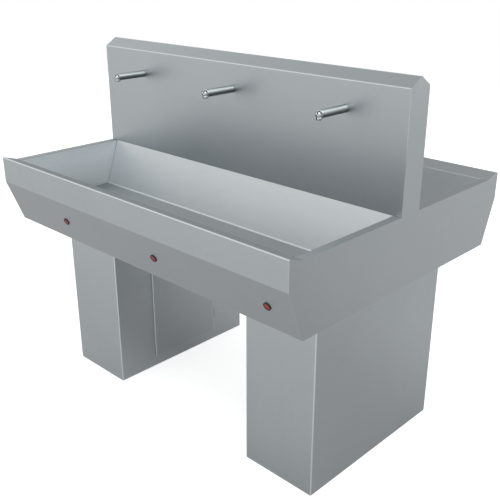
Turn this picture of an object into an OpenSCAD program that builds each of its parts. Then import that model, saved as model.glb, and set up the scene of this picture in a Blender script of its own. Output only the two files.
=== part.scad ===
// Double-sided hand-wash trough in sheet stainless steel: two basins back to back, a central
// upstand with sensor taps on both sides, and two pedestals that hold the plumbing.
// X runs along the trough, -Y is the front and Z is up. The origin is on the floor at the centre.
// Each side is drawn facing +Y and turned to its place, so front and rear share one description.

/* [Trough] */
// Length of the trough over its end panels
trough_length = 1400; // [1340:10:1700]
// Depth of the trough from lip to lip
trough_depth = 1080; // [1060:10:1160]
// Height of the outer lip above the floor
lip_height = 893; // [850:1:950]
// Width of the sloping rim along each long side
rim_width = 55; // [45:1:62]
// Fall of the sloping rim from the lip to the basin
rim_fall = 17; // [10:1:24]
// Width of the level rim at each end
end_rim_width = 28; // [22:1:40]
// Depth of each basin below its level rim
basin_depth = 168; // [150:1:176]
// Lean of the basin wall that rises to the upstand
rear_lean = 59; // [45:1:70]
// Lean of the basin wall that rises to the sloping rim
front_lean = 56; // [45:1:65]
// Fall of the basin floor to the line through the waste
floor_fall = 6; // [3:1:9]
// Radius between the basin floor and its walls
basin_radius = 6; // [4:1:10]

/* [Casing] */
// Thickness of the stainless sheet
sheet = 1.5; // [1:0.25:2]
// Outside radius of the folds in the sheet
bend_radius = 2.5; // [2.5:0.5:4]
// Height of the upright face of the apron
apron_face = 93; // [80:1:110]
// Height of the whole apron from the lip to the underside
apron_height = 251; // [240:1:256]
// Distance that the lower apron leans in
apron_taper = 59; // [45:1:70]
// Height of the flange that the basin sends up behind the upstand cover
seat_flange = 24; // [15:1:40]
// Width of the flange that the basin lays under the sloping rim
lap_flange = 20; // [12:1:30]

/* [Upstand] */
// Thickness of the upstand
upstand_thickness = 94; // [90:1:110]
// Height of the ridge above the lip
upstand_height = 385; // [360:1:450]
// Height of the sloping top between eave and ridge
gable_rise = 29; // [20:1:40]

/* [Pedestals] */
// Width of each pedestal along the trough
pedestal_width = 284; // [270:1:320]
// Depth of each pedestal from front to back
pedestal_depth = 662; // [640:1:700]
// Distance from the end of the trough to the pedestal
pedestal_inset = 72; // [60:1:90]
// Thickness of the foot plates that stand on the floor
foot_thickness = 3; // [2:0.5:5]
// Width of the foot plates
foot_width = 60; // [50:1:80]
// Radius of the floor anchor holes
anchor_radius = 6; // [5:0.5:7]
// Spacing of the two holes in each foot plate
anchor_spacing = 180; // [150:1:210]
// Width of the side flanges at the top of a pedestal
top_flange = 18; // [14:1:24]

/* [Service doors] */
// Width of each service door
door_width = 326; // [280:1:360]
// Distance from the top of the pedestal down to the door
door_head_room = 35; // [30:1:120]
// Height of the door's lower edge above the floor
door_base = 47; // [40:1:60]
// Distance that the door stands proud of the pedestal
door_proud = 7; // [6.5:0.5:10]
// Overlap of the door on each edge of its opening
door_lap = 16; // [14:1:24]
// Radius of the hinge pins
hinge_pin_radius = 2; // [1.5:0.25:2.5]
// Radius of the hinge knuckles
knuckle_radius = 4; // [3.5:0.25:5]
// Length of each of the three knuckles of a hinge
knuckle_length = 16; // [10:1:24]
// Distance from the end of the door to the middle of a hinge
hinge_inset = 80; // [50:1:120]
// Radius of the lock's barrel
lock_radius = 8; // [7:0.5:10]
// Distance from the door's free edge to the lock
lock_inset = 30; // [28:1:40]
// Reach of the lock's cam from its axis
cam_reach = 26; // [22:1:32]

/* [Frame] */
// Width of the box-section rails
rail_width = 40; // [30:1:45]
// Height of the box-section rails
rail_height = 30; // [25:1:32]
// Wall of the box-section rails
rail_wall = 2; // [1.5:0.5:3]
// Thickness of the bearers across the rails
bearer_thickness = 5; // [4:1:8]
// Distance that a bearer keeps from the basin's front edge
bearer_margin = 14; // [10:1:30]
// Width of the posts inside the upstand
post_width = 26; // [20:1:40]
// Wall of the posts inside the upstand
post_wall = 3; // [2:0.5:4]
// Height of the eave above the posts
post_head_room = 6; // [2:1:20]
// Radius of the bolts that join pedestals and rails
frame_bolt_radius = 4; // [3:0.5:5]

/* [Taps] */
// Distance from the end of the trough to the nearest tap
end_tap_distance = 224; // [200:1:250]
// Height of the taps above the lip
tap_height = 271; // [230:1:310]
// Reach of the outlet from the upstand's face
spout_reach = 120; // [110:1:180]
// Radius of the spout tube
spout_radius = 12.5; // [10:0.5:13]
// Radius of the waterway
waterway_radius = 6; // [5:0.5:7]
// Radius of the down-turned outlet
outlet_radius = 11; // [9.5:0.5:12]
// Distance that the outlet reaches below the tube
outlet_drop = 4; // [3:1:12]
// Radius of the threaded shank behind the spout
shank_radius = 9; // [8:0.5:10]

/* [Aerators] */
// Radius of the aerator's insert
aerator_radius = 8; // [7:0.5:8.5]
// Depth of the aerator's insert in the outlet
aerator_depth = 7; // [5:1:9]
// Height of the aerator's lip below the outlet
aerator_lip = 2; // [2:0.5:5]
// Radius of one aerator hole
aerator_hole_radius = 1.1; // [0.8:0.1:1.3]

/* [Sensors] */
// Distance from a tap to its sensor along the trough
sensor_shift = 124; // [90:1:150]
// Radius of the sensor's bezel
bezel_radius = 13; // [12:0.5:15]
// Thickness of the bezel in front of the apron
bezel_thickness = 3; // [2.5:0.5:4]
// Radius of the sensor's barrel
barrel_radius = 10; // [9:0.5:10.5]
// Length of the sensor's barrel behind the apron
barrel_length = 38; // [25:1:45]
// Radius of the red lens
lens_radius = 10; // [8:0.5:10.5]
// Thickness of the red lens
lens_thickness = 1.2; // [1:0.1:1.4]
// Depth of the lens below the bezel's face
lens_inset = 0.6; // [0.3:0.1:1]

/* [Wastes] */
// Distance between the waste's flange and the rail beside it
waste_clearance = 8; // [4:1:20]
// Radius of the pressed sump round the waste
sump_radius = 50; // [48:1:55]
// Depth of the sump below the floor's lowest line
sump_depth = 8; // [8:1:10]
// Radius of the waste's flange
waste_flange_radius = 43; // [40:1:46]
// Thickness of the waste's flange
waste_flange_thickness = 3; // [2:0.5:3]
// Outer radius of the waste's tail
tail_radius = 24; // [22:1:26]
// Wall of the waste's tail
tail_wall = 3; // [2:0.5:4]
// Length of the waste's tail below its flange
tail_length = 98; // [90:1:110]
// Thickness of the strainer plate
strainer_thickness = 2; // [1.5:0.5:2.5]

/* [Drain] */
// Outer radius of the drain pipes
drain_radius = 25; // [25:1:28]
// Wall of the drain pipes
drain_wall = 3; // [2:0.5:3]
// Drop from the waste's tail to the axis of the cross pipe
cross_pipe_drop = 32; // [29:1:45]
// Length of the pipe between the cross pipe and the trap
trap_drop = 88; // [70:1:100]
// Radius of the trap's body
trap_radius = 42; // [38:1:46]
// Height of the trap's body
trap_height = 150; // [120:1:170]
// Height of the cup that screws on under the trap
trap_cup_height = 44; // [30:1:60]
// Reach from the trap to the outlet pipe
outlet_pipe_reach = 110; // [90:1:140]
// Height of the outlet pipe's end above the floor
outlet_pipe_end = 15; // [10:1:60]
// Length of the plain spigot at the outlet pipe's end
outlet_spigot = 60; // [40:1:80]
// Height of the coupling above the spigot
outlet_coupling = 40; // [30:1:50]

/* [Water supply] */
// Width of the box-section manifold
manifold_width = 48; // [46:1:56]
// Height of the box-section manifold
manifold_height = 25; // [20:1:30]
// Wall of the manifold
manifold_wall = 2; // [1.5:0.5:3]
// Distance from the centre plane to each row of risers
riser_offset = 14; // [12.5:0.5:15]
// Outer radius of the risers
riser_radius = 6; // [5:0.5:7]
// Wall of the risers
riser_wall = 1; // [0.8:0.1:1.2]
// Radius of the elbow on top of each riser
elbow_radius = 8; // [8:0.5:9]
// Height of a solenoid valve's body
solenoid_height = 50; // [40:1:60]
// Radius of a solenoid valve's body
solenoid_radius = 11; // [9:0.5:12]
// Radius of a solenoid's coil
coil_radius = 13; // [11:1:16]
// Length of a solenoid's coil
coil_length = 46; // [35:1:50]
// Radius of the pipe from the mixing valve to the manifold
feed_radius = 11; // [9:0.5:13]
// Distance from the pedestal's centre line to the valves
valve_shift = 60; // [45:1:70]
// Height of the mixing valve above the floor
mixer_height = 450; // [400:1:480]
// Radius of the mixing valve's body
mixer_radius = 24; // [20:1:28]
// Length of the mixing valve's body
mixer_length = 130; // [110:1:150]
// Distance from the centre plane to each supply pipe
supply_offset = 86; // [82:1:100]
// Radius of the supply pipes
supply_radius = 7.5; // [7:0.5:9]
// Height of the isolation valves above the floor
stop_height = 260; // [220:1:290]
// Radius of an isolation valve's body
stop_radius = 15; // [13:1:18]
// Length of an isolation valve's body
stop_length = 64; // [54:1:80]
// Radius of the threaded inlet under an isolation valve
inlet_radius = 10.5; // [9:0.5:12]
// Length of the threaded inlet
inlet_length = 30; // [20:1:40]
// Length of an isolation valve's lever
lever_length = 66; // [50:1:80]

/* [Control box] */
// Width of the control box
control_width = 110; // [90:1:140]
// Depth of the control box from the pedestal wall
control_depth = 45; // [35:1:60]
// Height of the control box
control_height = 150; // [120:1:180]
// Height of the control box above the floor
control_base = 330; // [250:1:380]
// Distance from the centre plane to the middle of the control box
control_offset = 190; // [175:1:200]
// Radius of the bore of a cable gland
gland_bore_radius = 4.5; // [3:0.5:6]

/* [Hidden] */
$fn = 48;

// How far every cut runs past the face it opens
overrun = 1;
// Radial room between pieces that are fixed together
fixed_gap = 0.2;
// Radial room of a turning fit
running_gap = 0.05;
// Room between faces that move past each other
moving_gap = 0.3;
// Facets in each fold of the sheet
bend_steps = 4;

// Turn about Z that brings a side to its place
front = 180;
rear = 0;
left = -1;
right = 1;

// Places and levels of the trough
half_length = trough_length / 2;
half_depth = trough_depth / 2;
casing_x = half_length - sheet;
basin_x = half_length - end_rim_width;
rim_z = lip_height - rim_fall;
rim_y = half_depth - rim_width;
seat_z = rim_z - sheet;
fold_z = lip_height - apron_face;
base_z = lip_height - apron_height;
base_y = half_depth - apron_taper;
upstand_y = upstand_thickness / 2;
cover_y = upstand_y - sheet;
ridge_z = lip_height + upstand_height;
eave_z = ridge_z - gable_rise;
floor_z = rim_z - basin_depth;
valley_z = floor_z - floor_fall;
rear_y = upstand_y + rear_lean;
front_y = rim_y - front_lean;
sump_z = valley_z - sump_depth;

// Places of the pedestals, rails and bearers
pedestal_x = half_length - pedestal_inset - pedestal_width / 2;
pedestal_y = pedestal_depth / 2;
rail_y = pedestal_y - rail_width;
rail_z = base_z + sheet;
rail_top = rail_z + rail_height;
bearer_top = floor_z - sheet;
bearer_y = front_y - bearer_margin;
bearer_shares = [-0.44, -0.14, 0.14, 0.44];
foot_hole_y = pedestal_y - foot_width / 2;
door_height = base_z - door_base - door_head_room;
frame_bolt_y = pedestal_y - rail_width / 2;
opening_y = door_width / 2 - door_lap;
hinge_x = -pedestal_width / 2 - knuckle_radius;
hinge_y = door_width / 2 + knuckle_radius;
hinge_height = 3 * knuckle_length;
hinge_levels = [door_base + hinge_inset, door_base + door_height - hinge_inset];
lock_y = lock_inset - door_width / 2;
lock_z = door_base + door_height / 2;

// Places of the taps, sensors and wastes
tap_pitch = half_length - end_tap_distance;
tap_x = [-tap_pitch, 0, tap_pitch];
tap_z = lip_height + tap_height;
shank_end = riser_offset + elbow_radius + fixed_gap;
slope_angle = atan(apron_taper / (apron_height - apron_face));
sensor_y = (half_depth + base_y) / 2;
sensor_z = (fold_z + base_z) / 2;
lens_seat = bezel_thickness - lens_inset - lens_thickness;
waste_x = -pedestal_x;
waste_reach = rail_y - waste_flange_radius - waste_clearance;

// Levels of the water supply
manifold_z = bearer_top + manifold_height;
stub_height = 10;
solenoid_z = manifold_z + stub_height;
solenoid_top = solenoid_z + solenoid_height;
coil_z = solenoid_z + solenoid_height / 2;
valve_x = pedestal_x + valve_shift;
mixer_inlet_z = mixer_height - mixer_radius;

// Levels of the drain
seal_thickness = 2;
trap_margin = 1;
flange_z = sump_z + seal_thickness + waste_flange_thickness;
tail_end = flange_z - tail_length;
cross_pipe_z = tail_end - cross_pipe_drop;
trap_top = cross_pipe_z - trap_drop;
trap_outlet_z = trap_top - trap_margin - drain_radius;

// Small pieces
aerator_holes = 6;
lock_nut_thickness = 8;
lock_nut_across = 84;
backnut_across = 27;
sensor_nut_across = 26;
sensor_nut_thickness = 5;
leaf_width = 10;
leaf_margin = 2;
lock_flange_width = 2;
lock_flange_thickness = 1;
lock_slot_width = 2;
lock_slot_depth = 0.6;
cam_thickness = 2;
cam_width = 13;
bolt_head_across = 13;
bolt_head_height = 5;
spindle_radius = 4;
spindle_length = 6;
stem_radius = 8;
stem_reach = 24;
hex_rise = 1;
lever_thickness = 3;
lever_width = 14;
knob_radius = 20;
knob_length = 26;
knob_grips = 8;
knob_grip_radius = 3;
mixer_boss_radius = 17;
mixer_boss_reach = 34;
mixer_neck_radius = 15;
mixer_neck_height = 12;
mixer_port_radius = 12;
bracket_sheet = 2;
bracket_half = 45;
bracket_arm = 34;
bracket_arm_thickness = 4;
bracket_depth = 24;
gland_radius = 9;
gland_height = 12;
gland_shares = [-0.3, 0, 0.3];
control_lid = 8;
control_lid_inset = 3;
strainer_hole_radius = 3;
strainer_ring_shares = [0.28, 0.54, 0.8];
strainer_ring_holes = [6, 12, 16];
strainer_knob_radius = 5;
strainer_knob_height = 6;
strainer_guide = 10;
trap_rib_radius = 3;
trap_ribs = 10;

// Directions and folds of sheet
function unit(v) = v / norm(v);
function quarter_turn(v) = [-v[1], v[0]];
function turned(v, angle) = [
    v[0] * cos(angle) - v[1] * sin(angle),
    v[0] * sin(angle) + v[1] * cos(angle)
];
function cross_z(a, b) = a[0] * b[1] - a[1] * b[0];

// Where the line through p along u meets the line through q along v
function meet(p, u, q, v) = p + u * cross_z(q - p, v) / cross_z(u, v);

// The corner b between a and c, rounded by an arc of the radius given
function bend(a, b, c, radius) =
    radius == 0 ? [b] :
    let (
        u = unit(a - b),
        v = unit(c - b),
        half = acos(u * v) / 2,
        centre = b + unit(u + v) * radius / sin(half),
        start = b + u * radius / tan(half) - centre,
        way = cross_z(b - a, c - b) > 0 ? 1 : -1,
        turn = way * acos(-u * v)
    )
    [for (i = [0 : bend_steps]) centre + turned(start, turn * i / bend_steps)];

// An open line of folds, and a closed one
function folded(points, radii) = [
    points[0],
    for (i = [1 : len(points) - 2])
        each bend(points[i - 1], points[i], points[i + 1], radii[i]),
    points[len(points) - 1]
];
function rounded_loop(points, radii) =
    let (n = len(points))
    [for (i = [0 : n - 1])
        each bend(points[(i + n - 1) % n], points[i], points[(i + 1) % n], radii[i])];

// A line moved sideways by a distance, with mitred corners
function shifted(path, distance) =
    let (
        last = len(path) - 1,
        normals = [for (i = [0 : last - 1]) quarter_turn(unit(path[i + 1] - path[i]))]
    )
    [for (i = [0 : last])
        let (m = normals[max(i - 1, 0)], n = normals[min(i, last - 1)])
        path[i] + distance * (m + n) / (1 + m * n)];

function reversed(path) = [for (i = [len(path) - 1 : -1 : 0]) path[i]];
function mirrored(path) = [for (p = reversed(path)) [-p[0], p[1]]];

// The section of a sheet that follows a path on its visible face
function sheet_section(path) = concat(path, reversed(shifted(path, -sheet)));

// Places shared by both sides
function side_x(side, x) = side == front ? -x : x;
function sensor_x(side, place) = side_x(side, tap_x[place]) - sensor_shift;

// Corner where the basin's front wall turns under the sloping rim
rim_way = unit([rim_width, rim_fall]);
rim_underside = [rim_y, rim_z] - sheet * quarter_turn(rim_way);
wall_corner = meet([front_y, floor_z], [front_lean, basin_depth], rim_underside, rim_way);

// Folded sections, outwards from the centre plane
basin_path = folded(
    [[cover_y, rim_z + seat_flange], [cover_y, rim_z], [rear_y, floor_z],
     [waste_reach, valley_z], [front_y, floor_z], wall_corner,
     wall_corner + lap_flange * rim_way],
    [0, 0, basin_radius, 0, basin_radius, bend_radius, 0]);
basin_section = folded(
    [[cover_y, rim_z], [rear_y, floor_z], [waste_reach, valley_z], [front_y, floor_z],
     [rim_y, rim_z]],
    [0, basin_radius, 0, basin_radius, 0]);
apron_path = folded(
    [[rim_y, rim_z], [half_depth, lip_height], [half_depth, fold_z],
     [base_y, base_z], [rail_y, base_z]],
    [0, bend_radius, bend_radius, bend_radius, 0]);
end_half = [[upstand_y, eave_z], [upstand_y, rim_z], [rim_y, rim_z], [half_depth, lip_height],
            [half_depth, fold_z], [base_y, base_z]];
end_radii = [bend_radius, 0, 0, bend_radius, bend_radius, bend_radius];
end_outline = rounded_loop(
    concat([[0, ridge_z]], end_half, mirrored(end_half)),
    concat([bend_radius], end_radii, reversed(end_radii)));
function cover_path(end_z) = folded(
    [[-upstand_y, end_z], [-upstand_y, eave_z], [0, ridge_z], [upstand_y, eave_z],
     [upstand_y, end_z]],
    [0, bend_radius, bend_radius, bend_radius, 0]);
cover_seat_z = rim_z - sheet * basin_depth / (rear_y - cover_y);

// Placing helpers
module on_side(side) {
    rotate([0, 0, side]) children();
}

module along_x(start, span) {
    translate([start, 0, 0]) rotate([90, 0, 90]) linear_extrude(span) children();
}

module rod_x(start, span, radius) {
    translate([start, 0, 0]) rotate([0, 90, 0]) cylinder(h = span, r = radius);
}

module rod_y(start, span, radius) {
    translate([0, start, 0]) rotate([-90, 0, 0]) cylinder(h = span, r = radius);
}

module ring(outer, inner, thickness) {
    difference() {
        cylinder(h = thickness, r = outer);
        translate([0, 0, -overrun]) cylinder(h = thickness + 2 * overrun, r = inner);
    }
}

module hex_ring(across, inner, thickness) {
    difference() {
        cylinder(h = thickness, r = across / 2 / cos(30), $fn = 6);
        translate([0, 0, -overrun]) cylinder(h = thickness + 2 * overrun, r = inner);
    }
}

// Rectangle with true round corners, centred
module rounded_plate(width, depth, radius) {
    square([width - 2 * radius, depth], center = true);
    square([width, depth - 2 * radius], center = true);
    for (x = [-1, 1], y = [-1, 1])
        translate([x * (width / 2 - radius), y * (depth / 2 - radius)]) circle(r = radius);
}

// Basins
module basin(side) {
    x = side_x(side, waste_x);
    on_side(side) color("silver") difference() {
        union() {
            along_x(-basin_x, 2 * basin_x) polygon(sheet_section(basin_path));
            sump_cup(x);
        }
        translate([x, waste_reach, sump_z]) cylinder(h = sump_depth + basin_depth, r = sump_radius);
        translate([x, waste_reach, sump_z - sheet - overrun])
            cylinder(h = sheet + 2 * overrun, r = tail_radius + fixed_gap);
    }
}

// Plates welded on at the ends of both basins
module basin_ends() {
    color("silver") for (side = [front, rear], start = [-basin_x - sheet, basin_x])
        on_side(side) along_x(start, sheet) intersection() {
            polygon(shifted(basin_section, -sheet));
            translate([upstand_y, 0]) square([rim_y - upstand_y, seat_z]);
        }
}

// Pressed cup below the floor, trimmed to the floor's two slopes
module sump_cup(x) {
    difference() {
        translate([x, waste_reach, sump_z - sheet])
            cylinder(h = floor_z - sump_z + sheet, r = sump_radius + sheet);
        along_x(x - sump_radius - 2 * sheet, 2 * sump_radius + 4 * sheet) polygon(basin_section);
    }
}

// Aprons
module apron(side) {
    on_side(side) color("lightsteelblue") difference() {
        along_x(-casing_x, 2 * casing_x) polygon(sheet_section(apron_path));
        for (place = [0 : 2])
            sensor_frame(side, place) translate([0, 0, -sheet - overrun])
                cylinder(h = sheet + 2 * overrun, r = barrel_radius + fixed_gap);
        for (p = [-pedestal_x, pedestal_x], x = [-anchor_spacing / 2, anchor_spacing / 2])
            translate([p + x, frame_bolt_y, base_z - overrun])
                cylinder(h = sheet + 2 * overrun, r = frame_bolt_radius + fixed_gap);
    }
}

// End panels
module end_panel(end) {
    color("lightslategray") mirror([end == left ? 1 : 0, 0, 0]) {
        along_x(casing_x, sheet) polygon(end_outline);
        for (y = [-rim_y, upstand_y])
            translate([basin_x, y, seat_z])
                cube([casing_x - basin_x, rim_y - upstand_y, sheet]);
        translate([pedestal_x + pedestal_width / 2 - top_flange, -rail_y, base_z])
            cube([casing_x - pedestal_x - pedestal_width / 2 + top_flange, 2 * rail_y, sheet]);
    }
}

// Tray that closes the underside between the pedestals
module underside_panel() {
    inner_x = pedestal_x - pedestal_width / 2 + top_flange;
    color("slategray") difference() {
        translate([-inner_x, -rail_y, base_z])
            cube([2 * inner_x, 2 * rail_y, sheet + rail_height / 2]);
        translate([-inner_x - overrun, -rail_y + sheet, base_z + sheet])
            cube([2 * (inner_x + overrun), 2 * (rail_y - sheet), rail_height]);
    }
}

// Upstand
module upstand_cover() {
    color("gainsboro") difference() {
        along_x(-casing_x, 2 * casing_x)
            polygon(concat(cover_path(cover_seat_z),
                           reversed(shifted(cover_path(rim_z), -sheet))));
        for (x = tap_x)
            translate([x, 0, tap_z])
                rod_y(-upstand_y - overrun, upstand_thickness + 2 * overrun,
                      shank_radius + fixed_gap);
    }
}

module upstand_posts() {
    post_y = cover_y - sheet;
    color("slategray") for (share = bearer_shares)
        translate([share * trough_length, 0, 0]) difference() {
            translate([-bearer_thickness / 2, -post_y, bearer_top])
                cube([post_width, 2 * post_y, eave_z - post_head_room - bearer_top]);
            translate([post_wall - bearer_thickness / 2, -post_y + post_wall, bearer_top - overrun])
                cube([post_width, 2 * (post_y - post_wall), eave_z]);
            translate([-post_width, -manifold_width / 2 - fixed_gap, bearer_top - overrun])
                cube([2 * post_width, manifold_width + 2 * fixed_gap,
                      manifold_height + fixed_gap + overrun]);
        }
}

// Frame
module frame_rails() {
    color("slategray") for (side = [front, rear])
        on_side(side) difference() {
            translate([-casing_x, rail_y, rail_z]) cube([2 * casing_x, rail_width, rail_height]);
            translate([-casing_x - overrun, rail_y + rail_wall, rail_z + rail_wall])
                cube([2 * (casing_x + overrun), rail_width - 2 * rail_wall,
                      rail_height - 2 * rail_wall]);
            for (p = [-pedestal_x, pedestal_x], x = [-anchor_spacing / 2, anchor_spacing / 2])
                translate([p + x, frame_bolt_y, rail_z - overrun])
                    cylinder(h = rail_wall + 2 * overrun, r = frame_bolt_radius + fixed_gap);
        }
}

module bearers() {
    color("slategray") for (share = bearer_shares)
        translate([share * trough_length - bearer_thickness / 2, 0, 0]) difference() {
            translate([0, -bearer_y, rail_top])
                cube([bearer_thickness, 2 * bearer_y, bearer_top - rail_top]);
            for (side = [front, rear])
                rotate([0, 0, side])
                    along_x(-bearer_thickness - overrun, 2 * (bearer_thickness + overrun))
                        polygon(shifted(basin_section, -sheet));
        }
}

module frame_bolts() {
    stack = 2 * sheet + rail_wall;
    color("gray") for (side = [front, rear], p = [-pedestal_x, pedestal_x],
                       x = [-anchor_spacing / 2, anchor_spacing / 2])
        on_side(side) translate([p + x, frame_bolt_y, base_z - sheet]) {
            translate([0, 0, -bolt_head_height])
                cylinder(h = bolt_head_height, r = bolt_head_across / 2 / cos(30), $fn = 6);
            cylinder(h = stack + 2 * bolt_head_height, r = frame_bolt_radius);
        }
}

// Pedestals
module pedestal(end) {
    inside = pedestal_width - 2 * sheet;
    at_pedestal(end) color("lightsteelblue") difference() {
        union() {
            linear_extrude(base_z) difference() {
                rounded_plate(pedestal_width, pedestal_depth, bend_radius);
                rounded_plate(inside, pedestal_depth - 2 * sheet, bend_radius - sheet);
            }
            pedestal_foot(inside);
            pedestal_head(inside);
            for (z = hinge_levels)
                hinge_leaf(z);
        }
        translate([-pedestal_width / 2 - overrun, -opening_y, door_base + door_lap])
            cube([sheet + 2 * overrun, 2 * opening_y, door_height - 2 * door_lap]);
        for (y = [-foot_hole_y, foot_hole_y], x = [-anchor_spacing / 2, anchor_spacing / 2])
            translate([x, y, -overrun])
                cylinder(h = foot_thickness + 2 * overrun, r = anchor_radius);
        for (y = [-frame_bolt_y, frame_bolt_y], x = [-anchor_spacing / 2, anchor_spacing / 2])
            translate([x, y, base_z - sheet - overrun])
                cylinder(h = sheet + 2 * overrun, r = frame_bolt_radius + fixed_gap);
    }
}

// Stands its child on a pedestal's centre, drawn with the door towards -X
module at_pedestal(end) {
    translate([end * pedestal_x, 0, 0]) mirror([end == left ? 1 : 0, 0, 0]) children();
}

// Plates that stand on the floor and take the anchors
module pedestal_foot(inside) {
    for (side = [front, rear])
        on_side(side) translate([-inside / 2, pedestal_y - foot_width, 0])
            cube([inside, foot_width - sheet, foot_thickness]);
}

// Flanges that carry the trough
module pedestal_head(inside) {
    difference() {
        translate([-inside / 2, -pedestal_y + sheet, base_z - sheet])
            cube([inside, pedestal_depth - 2 * sheet, sheet]);
        translate([-pedestal_width / 2 + top_flange, -rail_y, base_z - sheet - overrun])
            cube([pedestal_width - 2 * top_flange, 2 * rail_y, sheet + 2 * overrun]);
    }
}

// The fixed leaf of a hinge, welded on, with a knuckle at each end
module hinge_leaf(z) {
    clear = knuckle_radius + moving_gap;
    translate([hinge_x + knuckle_radius - sheet, hinge_y + clear, z - hinge_height / 2])
        cube([sheet, leaf_width, hinge_height]);
    for (start = [-hinge_height / 2, knuckle_length / 2])
        translate([hinge_x, hinge_y, z + start]) {
            ring(knuckle_radius, hinge_pin_radius + fixed_gap, knuckle_length);
            translate([hinge_pin_radius + fixed_gap, leaf_margin - knuckle_radius, 0])
                cube([knuckle_radius - hinge_pin_radius - fixed_gap,
                      knuckle_radius + clear - leaf_margin, knuckle_length]);
        }
}

module hinge_pins() {
    color("dimgray") for (end = [left, right], z = hinge_levels)
        at_pedestal(end) translate([hinge_x, hinge_y, z]) {
            translate([0, 0, -hinge_height / 2])
                cylinder(h = hinge_height, r = hinge_pin_radius);
            for (start = [-hinge_height / 2 - hinge_pin_radius, hinge_height / 2])
                translate([0, 0, start])
                    cylinder(h = hinge_pin_radius, r = knuckle_radius - fixed_gap);
        }
}

// Service doors
module door(end) {
    outer_x = -pedestal_width / 2 - door_proud;
    depth = door_proud - moving_gap;
    knuckle = knuckle_length - 2 * moving_gap;
    at_pedestal(end) color("lightslategray") difference() {
        union() {
            translate([outer_x, 0, lock_z]) rotate([90, 0, 90]) difference() {
                linear_extrude(depth) rounded_plate(door_width, door_height, bend_radius);
                translate([0, 0, sheet]) linear_extrude(depth)
                    rounded_plate(door_width - 2 * sheet, door_height - 2 * sheet,
                                  bend_radius - sheet);
            }
            for (z = hinge_levels)
                translate([hinge_x, 0, z - knuckle / 2]) {
                    translate([0, hinge_y, 0]) cylinder(h = knuckle, r = knuckle_radius);
                    translate([outer_x - hinge_x, door_width / 2 - sheet, 0])
                        cube([hinge_x - outer_x, knuckle_radius + sheet, knuckle]);
                }
        }
        for (z = hinge_levels)
            translate([hinge_x, hinge_y, z - knuckle_length])
                cylinder(h = 2 * knuckle_length, r = hinge_pin_radius + running_gap);
        translate([0, lock_y, lock_z])
            rod_x(outer_x - overrun, sheet + 2 * overrun, lock_radius + running_gap);
    }
}

// Quarter-turn lock, drawn unlocked
module door_lock(end) {
    outer_x = -pedestal_width / 2 - door_proud;
    cam_x = -pedestal_width / 2 + sheet + moving_gap;
    at_pedestal(end) color("dimgray") translate([0, lock_y, lock_z]) difference() {
        union() {
            rod_x(outer_x - lock_flange_thickness, lock_flange_thickness,
                  lock_radius + lock_flange_width);
            rod_x(outer_x, cam_x + cam_thickness - outer_x, lock_radius);
            translate([cam_x, -cam_width / 2, 0]) cube([cam_thickness, cam_width, cam_reach]);
        }
        translate([outer_x - lock_flange_thickness - overrun, -lock_slot_width / 2, -lock_radius])
            cube([lock_slot_depth + overrun, lock_slot_width, 2 * lock_radius]);
    }
}

// Taps
module at_tap(side, place) {
    on_side(side) translate([side_x(side, tap_x[place]), 0, tap_z]) children();
}

module spout(side, place) {
    outlet_y = upstand_y + spout_reach;
    outlet_height = spout_radius + outlet_drop;
    at_tap(side, place) color("whitesmoke") difference() {
        union() {
            rod_y(upstand_y, spout_reach, spout_radius);
            translate([0, outlet_y, 0]) sphere(r = spout_radius);
            translate([0, outlet_y, -outlet_height]) cylinder(h = outlet_height, r = outlet_radius);
            rod_y(shank_end, upstand_y - shank_end, shank_radius);
        }
        rod_y(shank_end - overrun, outlet_y - shank_end + overrun, waterway_radius);
        translate([0, outlet_y, -outlet_height - overrun])
            cylinder(h = outlet_height + overrun, r = waterway_radius);
        translate([0, outlet_y, -outlet_height - overrun])
            cylinder(h = aerator_depth + 2 * overrun, r = aerator_radius + fixed_gap);
    }
}

module aerator(side, place) {
    at_tap(side, place)
        translate([0, upstand_y + spout_reach, -spout_radius - outlet_drop])
            color("gray") difference() {
                union() {
                    cylinder(h = aerator_depth, r = aerator_radius);
                    translate([0, 0, -aerator_lip])
                        cylinder(h = aerator_lip, r = (aerator_radius + outlet_radius) / 2);
                }
                for (i = [1 : aerator_holes])
                    rotate([0, 0, 360 * i / aerator_holes])
                        translate([aerator_radius / 2, 0, -aerator_lip - overrun])
                            cylinder(h = aerator_depth + aerator_lip + 2 * overrun,
                                     r = aerator_hole_radius);
            }
}

module spout_seals() {
    color("black") for (side = [front, rear], place = [0 : 2])
        at_tap(side, place) translate([0, cover_y, 0]) rotate([90, 0, 0])
            ring(backnut_across / 2, shank_radius + fixed_gap, seal_thickness);
}

module spout_backnuts() {
    color("darkkhaki") for (side = [front, rear], place = [0 : 2])
        at_tap(side, place) translate([0, cover_y - seal_thickness, 0]) rotate([90, 0, 0])
            hex_ring(backnut_across, shank_radius + fixed_gap, lock_nut_thickness);
}

// Sensors
module sensor_frame(side, place) {
    translate([sensor_x(side, place), sensor_y, sensor_z])
        rotate([-90 - slope_angle, 0, 0]) children();
}

module sensor(side, place) {
    on_side(side) sensor_frame(side, place) color("dimgray") difference() {
        union() {
            cylinder(h = bezel_thickness, r = bezel_radius);
            translate([0, 0, -barrel_length]) cylinder(h = barrel_length, r = barrel_radius);
        }
        translate([0, 0, lens_seat]) cylinder(h = bezel_thickness, r = lens_radius + fixed_gap);
    }
}

module sensor_lenses() {
    color("firebrick") for (side = [front, rear], place = [0 : 2])
        on_side(side) sensor_frame(side, place)
            translate([0, 0, lens_seat]) cylinder(h = lens_thickness, r = lens_radius);
}

module sensor_nuts() {
    color("dimgray") for (side = [front, rear], place = [0 : 2])
        on_side(side) sensor_frame(side, place)
            translate([0, 0, -sheet - sensor_nut_thickness])
                hex_ring(sensor_nut_across, barrel_radius + fixed_gap, sensor_nut_thickness);
}

// Water supply inside the upstand
module at_riser(side, place) {
    on_side(side) translate([side_x(side, tap_x[place]), riser_offset, 0]) children();
}

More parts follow.
